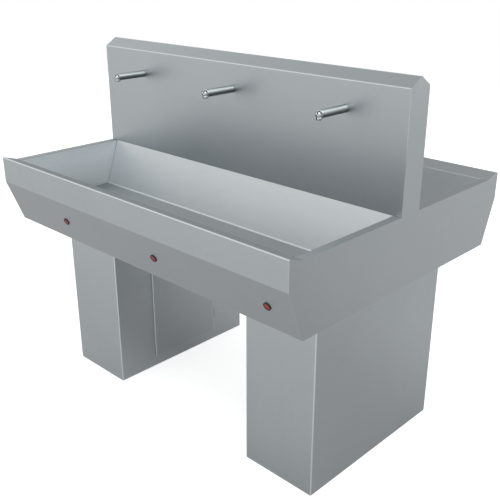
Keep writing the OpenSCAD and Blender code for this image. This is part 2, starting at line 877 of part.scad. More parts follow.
module supply_manifold() {
    manifold_end = valve_x + manifold_width / 2;
    manifold_start = -tap_pitch - manifold_width;
    bore = feed_radius - manifold_wall;
    feed_base = mixer_height + mixer_radius + mixer_neck_height;
    color("silver") difference() {
        union() {
            translate([manifold_start, -manifold_width / 2, bearer_top])
                cube([manifold_end - manifold_start, manifold_width, manifold_height]);
            for (side = [front, rear], place = [0 : 2])
                at_riser(side, place) translate([0, 0, manifold_z])
                    cylinder(h = stub_height, r = riser_radius);
            translate([valve_x, 0, feed_base])
                cylinder(h = bearer_top - feed_base, r = feed_radius);
        }
        translate([manifold_start + manifold_wall, -manifold_width / 2 + manifold_wall,
                   bearer_top + manifold_wall])
            cube([manifold_end - manifold_start - 2 * manifold_wall,
                  manifold_width - 2 * manifold_wall, manifold_height - 2 * manifold_wall]);
        for (side = [front, rear], place = [0 : 2])
            at_riser(side, place) translate([0, 0, manifold_z - manifold_wall - overrun])
                cylinder(h = stub_height + manifold_wall + 2 * overrun,
                         r = riser_radius - riser_wall);
        translate([valve_x, 0, feed_base - overrun])
            cylinder(h = bearer_top - feed_base + manifold_wall + 2 * overrun, r = bore);
    }
}

module solenoid_valves() {
    color("goldenrod") for (side = [front, rear], place = [0 : 2])
        at_riser(side, place) {
            translate([0, 0, solenoid_z]) cylinder(h = solenoid_height, r = solenoid_radius);
            translate([0, 0, coil_z]) rod_y(0, coil_length, coil_radius);
        }
}

module riser_pipes() {
    color("silver") for (side = [front, rear], place = [0 : 2])
        at_riser(side, place) difference() {
            union() {
                translate([0, 0, solenoid_top]) cylinder(h = tap_z - solenoid_top, r = riser_radius);
                translate([0, 0, tap_z]) sphere(r = elbow_radius);
                translate([0, 0, tap_z]) rod_y(0, shank_end - riser_offset, riser_radius);
            }
            translate([0, 0, solenoid_top - overrun])
                cylinder(h = tap_z - solenoid_top + overrun, r = riser_radius - riser_wall);
            translate([0, 0, tap_z])
                rod_y(0, shank_end - riser_offset + overrun, riser_radius - riser_wall);
        }
}

// Valves in the right pedestal
module mixing_valve() {
    color("goldenrod") translate([valve_x, 0, mixer_height]) {
        rod_y(-mixer_length / 2, mixer_length, mixer_radius);
        cylinder(h = mixer_radius + mixer_neck_height, r = mixer_neck_radius);
        rod_x(-mixer_boss_reach, mixer_boss_reach, mixer_boss_radius);
        rod_x(-mixer_boss_reach - knob_length + spindle_length, knob_length, spindle_radius);
        rod_y(-supply_offset, 2 * supply_offset, mixer_port_radius);
        for (y = [-supply_offset, supply_offset])
            translate([0, y, 0]) {
                sphere(r = mixer_port_radius);
                translate([0, 0, -mixer_radius])
                    cylinder(h = mixer_radius, r = mixer_port_radius);
            }
    }
}

module mixing_handle() {
    start = -mixer_boss_reach - moving_gap - knob_length;
    color("firebrick") translate([valve_x, 0, mixer_height]) difference() {
        rod_x(start, knob_length, knob_radius);
        rod_x(start + spindle_length - moving_gap, knob_length, spindle_radius + running_gap);
        for (i = [0 : knob_grips - 1])
            rotate([360 * i / knob_grips, 0, 0]) translate([0, 0, knob_radius])
                rod_x(start - overrun, knob_length - spindle_length, knob_grip_radius);
    }
}

module isolation_valves() {
    color("goldenrod") for (side = [front, rear])
        translate([valve_x, side == front ? -supply_offset : supply_offset, 0]) {
            translate([0, 0, stop_height + stop_length / 2])
                cylinder(h = mixer_inlet_z - stop_height - stop_length / 2, r = supply_radius);
            translate([0, 0, stop_height - stop_length / 2])
                cylinder(h = stop_length, r = stop_radius);
            for (z = [stop_height - stop_length / 2, stop_height + stop_length / 2 - stop_radius])
                translate([0, 0, z])
                    cylinder(h = stop_radius, r = (stop_radius + hex_rise) / cos(30), $fn = 6);
            translate([0, 0, stop_height - stop_length / 2 - inlet_length])
                cylinder(h = inlet_length, r = inlet_radius);
            translate([0, 0, stop_height]) {
                rod_x(-stem_reach, stem_reach, stem_radius);
                rod_x(-stem_reach - spindle_length, spindle_length, spindle_radius);
            }
        }
}

module stop_lever(side) {
    hub = -stem_reach - moving_gap - lever_thickness;
    color("firebrick") translate([valve_x, side == front ? -supply_offset : supply_offset,
                                  stop_height])
        difference() {
            union() {
                rod_x(hub, lever_thickness, stem_radius + lever_thickness);
                translate([hub, -lever_width / 2, -lever_length])
                    cube([lever_thickness, lever_width, lever_length]);
                translate([0, 0, -lever_length])
                    rod_x(hub, lever_thickness, lever_width / 2);
            }
            rod_x(hub - overrun, lever_thickness + 2 * overrun, spindle_radius + running_gap);
        }
}

module valve_bracket() {
    wall_x = pedestal_x + pedestal_width / 2 - sheet;
    color("slategray") difference() {
        union() {
            translate([wall_x - bracket_sheet, -bracket_half, mixer_height - bracket_half])
                cube([bracket_sheet, 2 * bracket_half, 2 * bracket_half]);
            for (y = [-bracket_arm, bracket_arm - bracket_arm_thickness])
                translate([valve_x, y, mixer_height - bracket_depth / 2])
                    cube([wall_x - valve_x, bracket_arm_thickness, bracket_depth]);
        }
        translate([valve_x, 0, mixer_height])
            rod_y(-mixer_length / 2, mixer_length, mixer_radius + fixed_gap);
    }
}

module control_box() {
    wall_x = pedestal_x + pedestal_width / 2 - sheet;
    color("lightgray") translate([wall_x, -control_offset, control_base]) rotate([0, 0, 90])
    difference() {
        union() {
            translate([-control_width / 2, 0, 0])
                cube([control_width, control_depth - control_lid, control_height]);
            translate([-control_width / 2 + control_lid_inset, 0, control_lid_inset])
                cube([control_width - 2 * control_lid_inset, control_depth,
                      control_height - 2 * control_lid_inset]);
            for (share = gland_shares)
                translate([share * control_width, control_depth / 2, -gland_height])
                    cylinder(h = gland_height, r = gland_radius);
        }
        for (share = gland_shares)
            translate([share * control_width, control_depth / 2, -gland_height - overrun])
                cylinder(h = gland_height + control_lid + overrun, r = gland_bore_radius);
    }
}

// Wastes
module at_waste(side) {
    on_side(side) translate([side_x(side, waste_x), waste_reach, 0]) children();
}

module waste(side) {
    at_waste(side) color("gainsboro") translate([0, 0, tail_end]) difference() {
        union() {
            cylinder(h = tail_length, r = tail_radius);
            translate([0, 0, tail_length - waste_flange_thickness])
                cylinder(h = waste_flange_thickness, r = waste_flange_radius);
        }
        translate([0, 0, -overrun])
            cylinder(h = tail_length + 2 * overrun, r = tail_radius - tail_wall);
    }
}

module waste_seals() {
    color("black") for (side = [front, rear])
        at_waste(side) translate([0, 0, sump_z])
            ring(waste_flange_radius, tail_radius + fixed_gap, seal_thickness);
}

module waste_locknuts() {
    color("gray") for (side = [front, rear])
        at_waste(side) translate([0, 0, sump_z - sheet - lock_nut_thickness])
            hex_ring(lock_nut_across, tail_radius + fixed_gap, lock_nut_thickness);
}

module strainer(side) {
    guide = tail_radius - tail_wall - moving_gap;
    at_waste(side) color("whitesmoke") translate([0, 0, flange_z]) {
        difference() {
            cylinder(h = strainer_thickness, r = waste_flange_radius - strainer_thickness);
            for (k = [0 : len(strainer_ring_holes) - 1], i = [1 : strainer_ring_holes[k]])
                rotate([0, 0, 360 * i / strainer_ring_holes[k]])
                    translate([strainer_ring_shares[k] * waste_flange_radius, 0, -overrun])
                        cylinder(h = strainer_thickness + 2 * overrun, r = strainer_hole_radius);
        }
        translate([0, 0, strainer_thickness])
            cylinder(h = strainer_knob_height - strainer_thickness, r = strainer_knob_radius);
        translate([0, 0, -strainer_guide]) ring(guide, guide - strainer_thickness, strainer_guide);
    }
}

// Drain in the left pedestal
module drain_pipe() {
    bore = drain_radius - drain_wall;
    color("white") translate([waste_x, 0, 0]) difference() {
        union() {
            translate([0, 0, cross_pipe_z]) rod_y(-waste_reach, 2 * waste_reach, drain_radius);
            for (y = [-waste_reach, waste_reach])
                translate([0, y, cross_pipe_z]) {
                    sphere(r = drain_radius);
                    cylinder(h = cross_pipe_drop, r = drain_radius);
                }
            translate([0, 0, trap_top]) cylinder(h = trap_drop, r = drain_radius);
        }
        translate([0, 0, cross_pipe_z]) rod_y(-waste_reach, 2 * waste_reach, bore);
        for (y = [-waste_reach, waste_reach])
            translate([0, y, cross_pipe_z]) cylinder(h = cross_pipe_drop + overrun, r = bore);
        translate([0, 0, trap_top - overrun]) cylinder(h = trap_drop + overrun, r = bore);
    }
}

module drain_trap() {
    cup_radius = trap_radius + drain_wall;
    color("white") translate([waste_x, 0, 0]) {
        difference() {
            union() {
                translate([0, 0, trap_top - trap_height]) cylinder(h = trap_height, r = trap_radius);
                translate([0, 0, trap_top - trap_height])
                    cylinder(h = trap_cup_height, r = cup_radius);
            }
            for (i = [0 : trap_ribs - 1])
                rotate([0, 0, 360 * i / trap_ribs])
                    translate([cup_radius + trap_rib_radius / 2, 0, trap_top - trap_height - overrun])
                        cylinder(h = trap_cup_height - overrun, r = trap_rib_radius, $fn = 24);
        }
        translate([0, 0, trap_outlet_z]) rod_y(0, outlet_pipe_reach, drain_radius);
        translate([0, outlet_pipe_reach, trap_outlet_z]) sphere(r = drain_radius);
        difference() {
            translate([0, outlet_pipe_reach, outlet_pipe_end]) {
                cylinder(h = trap_outlet_z - outlet_pipe_end, r = drain_radius);
                translate([0, 0, outlet_spigot])
                    cylinder(h = outlet_coupling, r = drain_radius + drain_wall);
            }
            translate([0, outlet_pipe_reach, outlet_pipe_end - overrun])
                cylinder(h = trap_outlet_z - outlet_pipe_end - drain_radius,
                         r = drain_radius - drain_wall);
        }
    }
}

basin(front);  // basin_front
basin(rear);  // basin_rear
basin_ends();
apron(front);  // apron_front
apron(rear);  // apron_rear
end_panel(left);  // end_panel_left
end_panel(right);  // end_panel_right
underside_panel();
upstand_cover();
upstand_posts();
frame_rails();
bearers();
frame_bolts();
pedestal(left);  // pedestal_left
pedestal(right);  // pedestal_right
door(left);  // door_left
door(right);  // door_right
hinge_pins();
door_lock(left);  // lock_left
door_lock(right);  // lock_right
spout(front, 0);  // spout_front_left
spout(front, 1);  // spout_front_middle
spout(front, 2);  // spout_front_right
spout(rear, 0);  // spout_rear_left
spout(rear, 1);  // spout_rear_middle
spout(rear, 2);  // spout_rear_right
aerator(front, 0);  // aerator_front_left
aerator(front, 1);  // aerator_front_middle
aerator(front, 2);  // aerator_front_right
aerator(rear, 0);  // aerator_rear_left
aerator(rear, 1);  // aerator_rear_middle
aerator(rear, 2);  // aerator_rear_right
spout_seals();
spout_backnuts();
sensor(front, 0);  // sensor_front_left
sensor(front, 1);  // sensor_front_middle
sensor(front, 2);  // sensor_front_right
sensor(rear, 0);  // sensor_rear_left
sensor(rear, 1);  // sensor_rear_middle
sensor(rear, 2);  // sensor_rear_right
sensor_lenses();
sensor_nuts();
supply_manifold();
solenoid_valves();
riser_pipes();
mixing_valve();
mixing_handle();
isolation_valves();
stop_lever(front);  // lever_hot
stop_lever(rear);  // lever_cold
valve_bracket();
control_box();
waste(front);  // waste_front
waste(rear);  // waste_rear
waste_seals();
waste_locknuts();
strainer(front);  // strainer_front
strainer(rear);  // strainer_rear
drain_pipe();
drain_trap();
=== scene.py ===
"""Double-sided wash trough in brushed stainless steel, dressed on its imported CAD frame.

The frame gives every solid its place. This script adds the finished sheet metal, taps, sensors,
doors and wastes with their materials, then a camera and a plain studio. Lengths are in millimetres
until a mesh is made, X runs along the trough, -Y is the front and Z is up.
"""

from __future__ import annotations

import logging
import math
from collections.abc import Iterator, Sequence
from dataclasses import dataclass, field
from enum import Enum

import bmesh
import bpy
import numpy as np
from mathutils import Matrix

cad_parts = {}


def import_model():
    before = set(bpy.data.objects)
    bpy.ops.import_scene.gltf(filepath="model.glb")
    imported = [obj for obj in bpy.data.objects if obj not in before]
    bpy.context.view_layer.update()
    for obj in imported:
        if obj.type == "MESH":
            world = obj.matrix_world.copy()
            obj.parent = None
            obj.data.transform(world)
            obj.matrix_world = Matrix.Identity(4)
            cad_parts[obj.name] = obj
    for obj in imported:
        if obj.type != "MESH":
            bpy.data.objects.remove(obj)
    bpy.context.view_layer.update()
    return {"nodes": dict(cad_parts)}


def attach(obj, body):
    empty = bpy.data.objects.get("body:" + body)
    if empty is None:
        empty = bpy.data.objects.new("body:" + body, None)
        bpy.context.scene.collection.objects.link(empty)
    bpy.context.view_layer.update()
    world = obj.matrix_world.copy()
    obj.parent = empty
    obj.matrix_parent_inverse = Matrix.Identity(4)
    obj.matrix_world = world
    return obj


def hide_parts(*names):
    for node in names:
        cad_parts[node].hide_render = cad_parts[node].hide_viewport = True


LOG = logging.getLogger("wash_trough")
MM = 0.001
QUARTER = math.pi / 2
WHITE = (1.0, 1.0, 1.0, 1.0)

# Metres within which points merge and slivers vanish, digits of grid lines, and the sharpest soft fold.
MERGE = 2e-6
SLIVER = 1e-7
DIGITS = 4
SHARP = math.radians(32)

Array = np.ndarray
Socket = bpy.types.NodeSocket
Inputs = dict[str | int, object]
Pair = tuple[float, float]
Point = tuple[float, float, float]


class Place(Enum):
    """A place that comes more than once on the trough."""

    @property
    def word(self) -> str:
        """The place as the names of pieces have it."""
        return self.name.lower()


class Side(Place):
    """The two users' sides; each is drawn facing +Y and turned about Z to its place."""

    FRONT = -1
    REAR = 1

    @property
    def matrix(self) -> Array:
        """Half turn for the front, and nothing for the rear."""
        return np.diag([self.value, self.value, 1.0])


class End(Place):
    """The two ends of the trough; each is drawn for the right and mirrored to the left."""

    LEFT = -1
    RIGHT = 1

    @property
    def matrix(self) -> Array:
        """Mirror in X for the left, and nothing for the right."""
        return np.diag([self.value, 1.0, 1.0])


class Grain(Enum):
    """Direction of the brushing, as the length of its streaks along X, Y and Z."""

    ALONG_X = (220.0, 0.45, 0.45)
    ALONG_Y = (0.45, 220.0, 0.45)
    ALONG_Z = (0.45, 0.45, 220.0)


# Takes a sheet that is folded along X to one that is folded along Z.
UPRIGHT = np.array([[0.0, 1.0, 0.0], [0.0, 0.0, 1.0], [1.0, 0.0, 0.0]])


# Meshes


def level_grid(columns: Sequence[float], rows: Sequence[float], level: float) -> Array:
    """Points (x, y, level) for each x of the columns and each y of the rows."""
    x, y = np.meshgrid(np.asarray(columns, float), np.asarray(rows, float), indexing="ij")
    return np.stack([x, y, np.full_like(x, level)], -1)


class Shell:
    """Gathers grids of points and makes one closed mesh of them."""

    def __init__(self) -> None:
        """Starts empty."""
        self.points: list[Array] = []
        self.wear: list[Array] = []
        self.faces: list[Array] = []
        self.count = 0

    def grid(
        self, points: Array, wear: Array | float = 0.0, skip: Sequence[tuple[slice, slice]] = ()
    ) -> None:
        """Adds a grid whose face (i, j) joins the points (i, j), (i, j+1), (i+1, j+1) and (i+1, j).

        Args:
            points: Places as an array of rows, columns and three coordinates.
            wear: Painted light at each point, from -1, painted shade, to 1, painted highlight.
            skip: Rows and columns of faces that are left out.
        """
        rows, columns = points.shape[:2]
        index = np.arange(rows * columns).reshape(rows, columns) + self.count
        faces = np.stack([index[:-1, :-1], index[:-1, 1:], index[1:, 1:], index[1:, :-1]], axis=-1)
        keep = np.ones(faces.shape[:2], bool)
        for block in skip:
            keep[block] = False
        self.points.append(points.reshape(-1, 3))
        self.wear.append(np.broadcast_to(wear, (rows, columns)).ravel())
        self.faces.append(faces[keep])
        self.count += rows * columns

    def slab(self, upper: Array, lower: Array, wear: Array | float = 0.0) -> None:
        """Adds the closed wall between two grids of the same shape.

        Args:
            upper: One face, as rows, columns and three coordinates.
            lower: The other face.
            wear: Painted light at each point of both faces.
        """
        self.grid(upper, wear)
        self.grid(lower, wear)
        edges = np.broadcast_to(wear, upper.shape[:2])
        for pick in (np.s_[0], np.s_[-1], np.s_[:, 0], np.s_[:, -1]):
            self.grid(np.stack([upper[pick], lower[pick]]), np.stack([edges[pick], edges[pick]]))

    def block(self, corner: Point, opposite: Point) -> None:
        """Adds the cuboid between two opposite corners."""
        low, high = np.sort([corner, opposite], axis=0)
        self.slab(*(level_grid((low[0], high[0]), (low[1], high[1]), level) for level in (high[2], low[2])))

    def move(self, matrix: Array, origin: Point | Array = (0.0, 0.0, 0.0)) -> Shell:
        """Turns every point by the matrix, then shifts it: p becomes M p + origin."""
        self.points = [p @ matrix.T + np.asarray(origin) for p in self.points]
        return self

    def shift(self, origin: Point) -> Shell:
        """Shifts every point."""
        return self.move(np.eye(3), origin)

    def join(self, other: Shell) -> Shell:
        """Takes another shell's grids in.

        Args:
            other: The shell to take from.

        Returns:
            This shell.
        """
        self.faces += [f + self.count for f in other.faces]
        self.points += other.points
        self.wear += other.wear
        self.count += other.count
        return self

    def mesh(self, name: str) -> bpy.types.Mesh:
        """Makes the mesh in metres, closes its seams and poles, and turns its faces outwards.

        Args:
            name: Name of the mesh.

        Returns:
            The mesh, with the painted light of each point as an attribute.
        """
        data = bpy.data.meshes.new(name)
        data.from_pydata((np.vstack(self.points) * MM).tolist(), [], np.vstack(self.faces).tolist())
        # The attribute carries painted light: above 0 a painted highlight, below 0 painted shade.
        layer = data.attributes.new("wear", "FLOAT", "POINT")
        layer.data.foreach_set("value", np.concatenate(self.wear).astype(np.float32))
        edit = bmesh.new()
        edit.from_mesh(data)
        bmesh.ops.remove_doubles(edit, verts=edit.verts, dist=MERGE)
        bmesh.ops.dissolve_degenerate(edit, dist=SLIVER, edges=edit.edges)
        bmesh.ops.recalc_face_normals(edit, faces=edit.faces)
        edit.to_mesh(data)
        edit.free()
        data.shade_smooth()
        data.set_sharp_from_angle(angle=SHARP)
        return data


def fold_line(
    points: Sequence[Pair], radii: Sequence[float], steps: int = 6, land: float = 1.2
) -> tuple[Array, Array]:
    """Rounds the corners of an open line: b becomes the arc that touches both of its sides.

    The arc's centre is b + (u + v) / |u + v| * r / sin(half), with u and v towards the neighbours.

    Args:
        points: Corners of the line.
        radii: Radius at each corner, 0 for a sharp one; the ends' are not used.
        steps: Segments in each arc.
        land: Length of the flat strip that is kept beside each arc.

    Returns:
        The points, and 1 for each point on an arc or 0 elsewhere.
    """
    corner = np.asarray(points, float)
    rows, marks = [corner[:1]], [np.zeros(1)]
    for a, b, c, radius in zip(corner[:-2], corner[1:-1], corner[2:], radii[1:-1]):
        u, v = (a - b) / np.linalg.norm(a - b), (c - b) / np.linalg.norm(c - b)
        if radius == 0:
            rows.append(b[None])
            marks.append(np.zeros(1))
            continue
        half = math.acos(float(np.clip(u @ v, -1, 1))) / 2
        reach = radius / math.tan(half)
        centre = b + (u + v) / np.linalg.norm(u + v) * radius / math.sin(half)
        start = b + u * reach - centre
        sign = 1 if (b - a)[0] * (c - b)[1] - (b - a)[1] * (c - b)[0] > 0 else -1
        turn = sign * (math.pi - 2 * half) * np.linspace(0, 1, steps + 1)
        cos, sin = np.cos(turn), np.sin(turn)
        bend = centre + np.stack([start[0] * cos - start[1] * sin, start[0] * sin + start[1] * cos], -1)
        rows += [(b + u * (reach + land))[None], bend, (b + v * (reach + land))[None]]
        marks += [np.zeros(1), np.ones(steps + 1), np.zeros(1)]
    rows.append(corner[-1:])
    marks.append(np.zeros(1))
    return np.vstack(rows), np.concatenate(marks)


def border(columns: Array, rows: Array) -> Array:
    """Points round a rectangle from its first corner and back to it.

    Args:
        columns: Places of the upright lines that cross the border.
        rows: Places of the level lines that cross it.

    Returns:
        One point at each crossing, as (column, row).
    """
    lower = np.stack([columns, np.full_like(columns, rows[0])], -1)
    right = np.stack([np.full_like(rows, columns[-1]), rows], -1)
    upper = np.stack([columns[::-1], np.full_like(columns, rows[-1])], -1)
    left = np.stack([np.full_like(rows, columns[0]), rows[::-1]], -1)
    return np.vstack([lower[:-1], right[:-1], upper[:-1], left])


def spaced(line: Array) -> Array:
    """Shares of a line's length at its points, from 0 to 1."""
    reach = np.r_[0.0, np.cumsum(np.hypot(*np.diff(line, axis=0).T))]
    return reach / reach[-1]


def at_shares(line: Array, share: Array) -> Array:
    """Points at shares of a line's length."""
    return np.stack([np.interp(share, spaced(line), line[:, k]) for k in (0, 1)], -1)


def cross_level(pair: Array, level: float) -> Array:
    """The point where the straight line through two points of (y, z) reaches a level."""
    (y0, z0), (y1, z1) = pair
    return np.array([y0 + (y1 - y0) * (level - z0) / (z1 - z0), level])


@dataclass(frozen=True)
class Cut:
    """A rectangular opening in a sheet, by its centre and half sizes along and across the folds."""

    along: float
    across: float
    half_along: float
    half_across: float

    def lines(self) -> tuple[Array, Array]:
        """The grid lines that the cut needs, along and across."""
        sides = np.array([-1.0, 1.0])
        return self.along + sides * self.half_along, self.across + sides * self.half_across

    def rings(self, edge: Array) -> tuple[Array, Array, Array]:
        """The rows of points from the cut's border inwards, their sink shares and their spread behind."""
        return edge[None], np.zeros(1), np.zeros(1)


@dataclass(frozen=True)
class Hole(Cut):
    """A round hole: rings blend from the square of grid lines round it to its circle.

    Each row of the dish is a ring's radius, its share of the way down to the sheet's sunk level,
    and how many thicknesses wider it is behind.
    """

    radius: float = 1.0
    dish: Array = field(default_factory=lambda: np.empty((0, 3)))
    divisions: int = 8

    def lines(self) -> tuple[Array, Array]:
        """The square round the hole, divided evenly."""
        share = np.linspace(-1, 1, self.divisions + 1)
        return self.along + share * self.half_along, self.across + share * self.half_across

    def rings(self, edge: Array) -> tuple[Array, Array, Array]:
        """Rings of radius r in the direction of each border point, r / |e| * e, down to the hole.

        Args:
            edge: Points of the border about the hole's centre.

        Returns:
            The rings, how far each sinks to the dish's level, and how much wider each is behind.
        """
        table = np.vstack([self.dish, [self.radius, self.dish[-1, 1] if len(self.dish) else 0.0, 0.0]])
        reach = np.linalg.norm(edge, axis=1, keepdims=True)
        circles = table[:, 0, None, None] * (edge / reach)[None]
        return np.vstack([edge[None], circles]), np.r_[0.0, table[:, 1]], np.r_[0.0, table[:, 2]]


@dataclass
class Sheet:
    """Sheet metal folded along parallel lines: P(a, s, d) = (a, y(s), z(s)) + d n(s).

    Here a is the place along the folds, s the place on the folded line, n the line's mitred normal
    and d the depth behind the visible face. Painted light runs from -1, painted shade, to 1, painted
    highlight: edges gives it on the line's first and last points, and ends on both ends of the span.
    A land is the narrow strip that is kept along each edge, and level is the depth to which a dished
    hole sinks.
    """

    line: Array
    wear: Array
    span: Pair
    thickness: float
    cuts: list[Cut] = field(default_factory=list)
    level: float = 0.0
    closed: bool = False
    # Painted light: sheet edges, span ends and the rims of round holes get a painted highlight by default.
    edges: Pair = (1.0, 1.0)
    ends: float = 0.5
    land: float = 1.2
    rim_painted_light: float = 0.5
    tries: int = 20001

    def __post_init__(self) -> None:
        """Works out lengths and normals: the mean m of both sides' normals over 1 + cos of the fold."""
        step = np.diff(self.line, axis=0)
        length = np.hypot(step[:, 0], step[:, 1])
        normal = np.stack([-step[:, 1], step[:, 0]], -1) / length[:, None]
        before = np.vstack([normal[-1:] if self.closed else normal[:1], normal])
        after = np.vstack([normal, normal[:1] if self.closed else normal[-1:]])
        self.normal = (before + after) / (1 + (before * after).sum(1, keepdims=True))
        self.place = np.r_[0.0, np.cumsum(length)]

    def at(self, along: Array | float, across: Array | float, depth: float = 0.0) -> Array:
        """Points at places along and across the folds, at a depth behind the face (negative)."""
        pick = [np.interp(across, self.place, c[:, k]) for c in (self.line, self.normal) for k in (0, 1)]
        return np.stack(np.broadcast_arrays(along, pick[0] + depth * pick[2], pick[1] + depth * pick[3]), -1)

    def where(self, point: Pair) -> float:
        """Finds a place on the folded line by trying many that are close together.

        Args:
            point: A point near the line.

        Returns:
            The place that is nearest to the point.
        """
        fine = np.linspace(0, self.place[-1], self.tries)
        spots = self.at(0.0, fine)[:, 1:]
        return float(fine[np.argmin(np.hypot(*(spots - np.asarray(point)).T))])

    def painted_lighting(self, rows: Array, columns: Array) -> Array:
        """Spreads the line's painted light over the grid, and sets that of its edges and ends.

        Args:
            rows: Places across the folds.
            columns: Places along the folds.

        Returns:
            The painted light of each grid point.
        """
        wear = np.repeat(np.interp(rows, self.place, self.wear)[:, None], len(columns), axis=1)
        if not self.closed:
            wear[[0, -1]] = np.array(self.edges)[:, None]
        wear[:, [0, -1]] = self.ends
        return wear

    def shell(self) -> Shell:
        """Builds both faces, the walls of the cuts and the edges.

        Returns:
            The closed shell of the sheet.
        """
        pairs = [cut.lines() for cut in self.cuts]
        lands = [self.span[0] + self.land, self.span[1] - self.land]
        columns = np.unique(np.round(np.concatenate([self.span, lands, *[p[0] for p in pairs]]), DIGITS))
        lands = [] if self.closed else [self.land, self.place[-1] - self.land]
        rows = np.unique(np.round(np.concatenate([self.place, lands, *[p[1] for p in pairs]]), DIGITS))
        found = []
        for along, across in pairs:
            c = np.searchsorted(columns, np.round(along[[0, -1]], DIGITS))
            r = np.searchsorted(rows, np.round(across[[0, -1]], DIGITS))
            found.append((slice(r[0], r[1]), slice(c[0], c[1])))
        made, wear = Shell(), self.painted_lighting(rows, columns)
        for depth in (0.0, -self.thickness):
            made.grid(self.at(columns[None], rows[:, None], depth), wear, found)
        for cut, (r, c) in zip(self.cuts, found):
            self.line_cut(made, cut, border(columns[c.start : c.stop + 1], rows[r.start : r.stop + 1]))
        self.close(made, self.span[0], rows, wear[:, 0])
        self.close(made, self.span[1], rows, wear[:, -1])
        if not self.closed:
            self.close(made, columns, rows[0], wear[0])
            self.close(made, columns, rows[-1], wear[-1])
        return made

    def close(self, made: Shell, along: Array | float, across: Array | float, wear: Array) -> None:
        """Closes an edge between the two faces."""
        made.grid(np.stack([self.at(along, across, 0.0), self.at(along, across, -self.thickness)]), wear)

    def line_cut(self, made: Shell, cut: Cut, edge: Array) -> None:
        """Fills the rings between a cut's border and its edge on both faces, and closes its wall.

        Args:
            made: Shell that takes the rings.
            cut: The cut.
            edge: Points of its border, along and across the folds.
        """
        centre = np.array([cut.along, cut.across])
        rings, sink, spread = cut.rings(edge - centre)
        is_round = len(rings) > 1
        reach = np.linalg.norm(rings, axis=2, keepdims=True)
        lips = []
        for depth in (0.0, -self.thickness):
            wide = rings * (1 - spread[:, None, None] * depth / reach)
            spots = self.at(centre[0] + wide[..., 0], centre[1] + wide[..., 1], depth)
            spots[..., 2] += (self.level + depth - spots[..., 2]) * sink[:, None]
            # The rims of round holes carry painted light, a painted highlight by default.
            if is_round:
                made.grid(spots, np.r_[np.zeros(len(rings) - 1), self.rim_painted_light][:, None])
            lips.append(spots[-1])
        made.grid(np.stack(lips), self.rim_painted_light if is_round else 0.0)


def arc(height: float, across: float, rise: float, steps: int) -> Array:
    """Quarter oval of radius and height: (across cos t, height + rise sin t) for t up to 90 degrees."""
    turn = np.linspace(0, QUARTER, steps + 1)
    return np.stack([across * np.cos(turn), height + rise * np.sin(turn)], -1)


def thread(radius: float, depth: float, start: float, end: float, step: float) -> Array:
    """Radius and height of a thread from start down to end, with a root a step below each crest."""
    down = np.arange(start, end, step)
    return np.stack([radius - depth * (np.arange(len(down)) % 2), -down], -1)


def turned(profile: Sequence[Pair] | Array, segments: int = 48) -> Shell:
    """Turns a profile about Z: (r cos t, r sin t, h) for t round the circle.

    Args:
        profile: Pairs of radius and height.
        segments: Faces round the circle.

    Returns:
        The shell of the turned solid.
    """
    pairs = np.asarray(profile, float)
    turn = np.linspace(0, 2 * math.pi, segments + 1)
    radius, height = pairs[:, 0, None], np.broadcast_to(pairs[:, 1, None], (len(pairs), segments + 1))
    made = Shell()
    made.grid(np.stack([radius * np.cos(turn), radius * np.sin(turn), height], -1))
    return made


def facing(direction: Point) -> Array:
    """The turn that takes +Z to a direction, as three columns built by cross products.

    Args:
        direction: Where +Z goes, away from the X axis.

    Returns:
        The matrix of the turn.
    """
    axis = np.asarray(direction, float) / np.linalg.norm(direction)
    second = np.cross(axis, [1.0, 0.0, 0.0])
    second /= np.linalg.norm(second)
    return np.stack([np.cross(second, axis), second, axis], -1)


# Finishes


def rgba(colour: Point, share: float = 1.0) -> tuple[float, ...]:
    """A linear colour times a share, and opaque."""
    return (*(c * share for c in colour), 1.0)


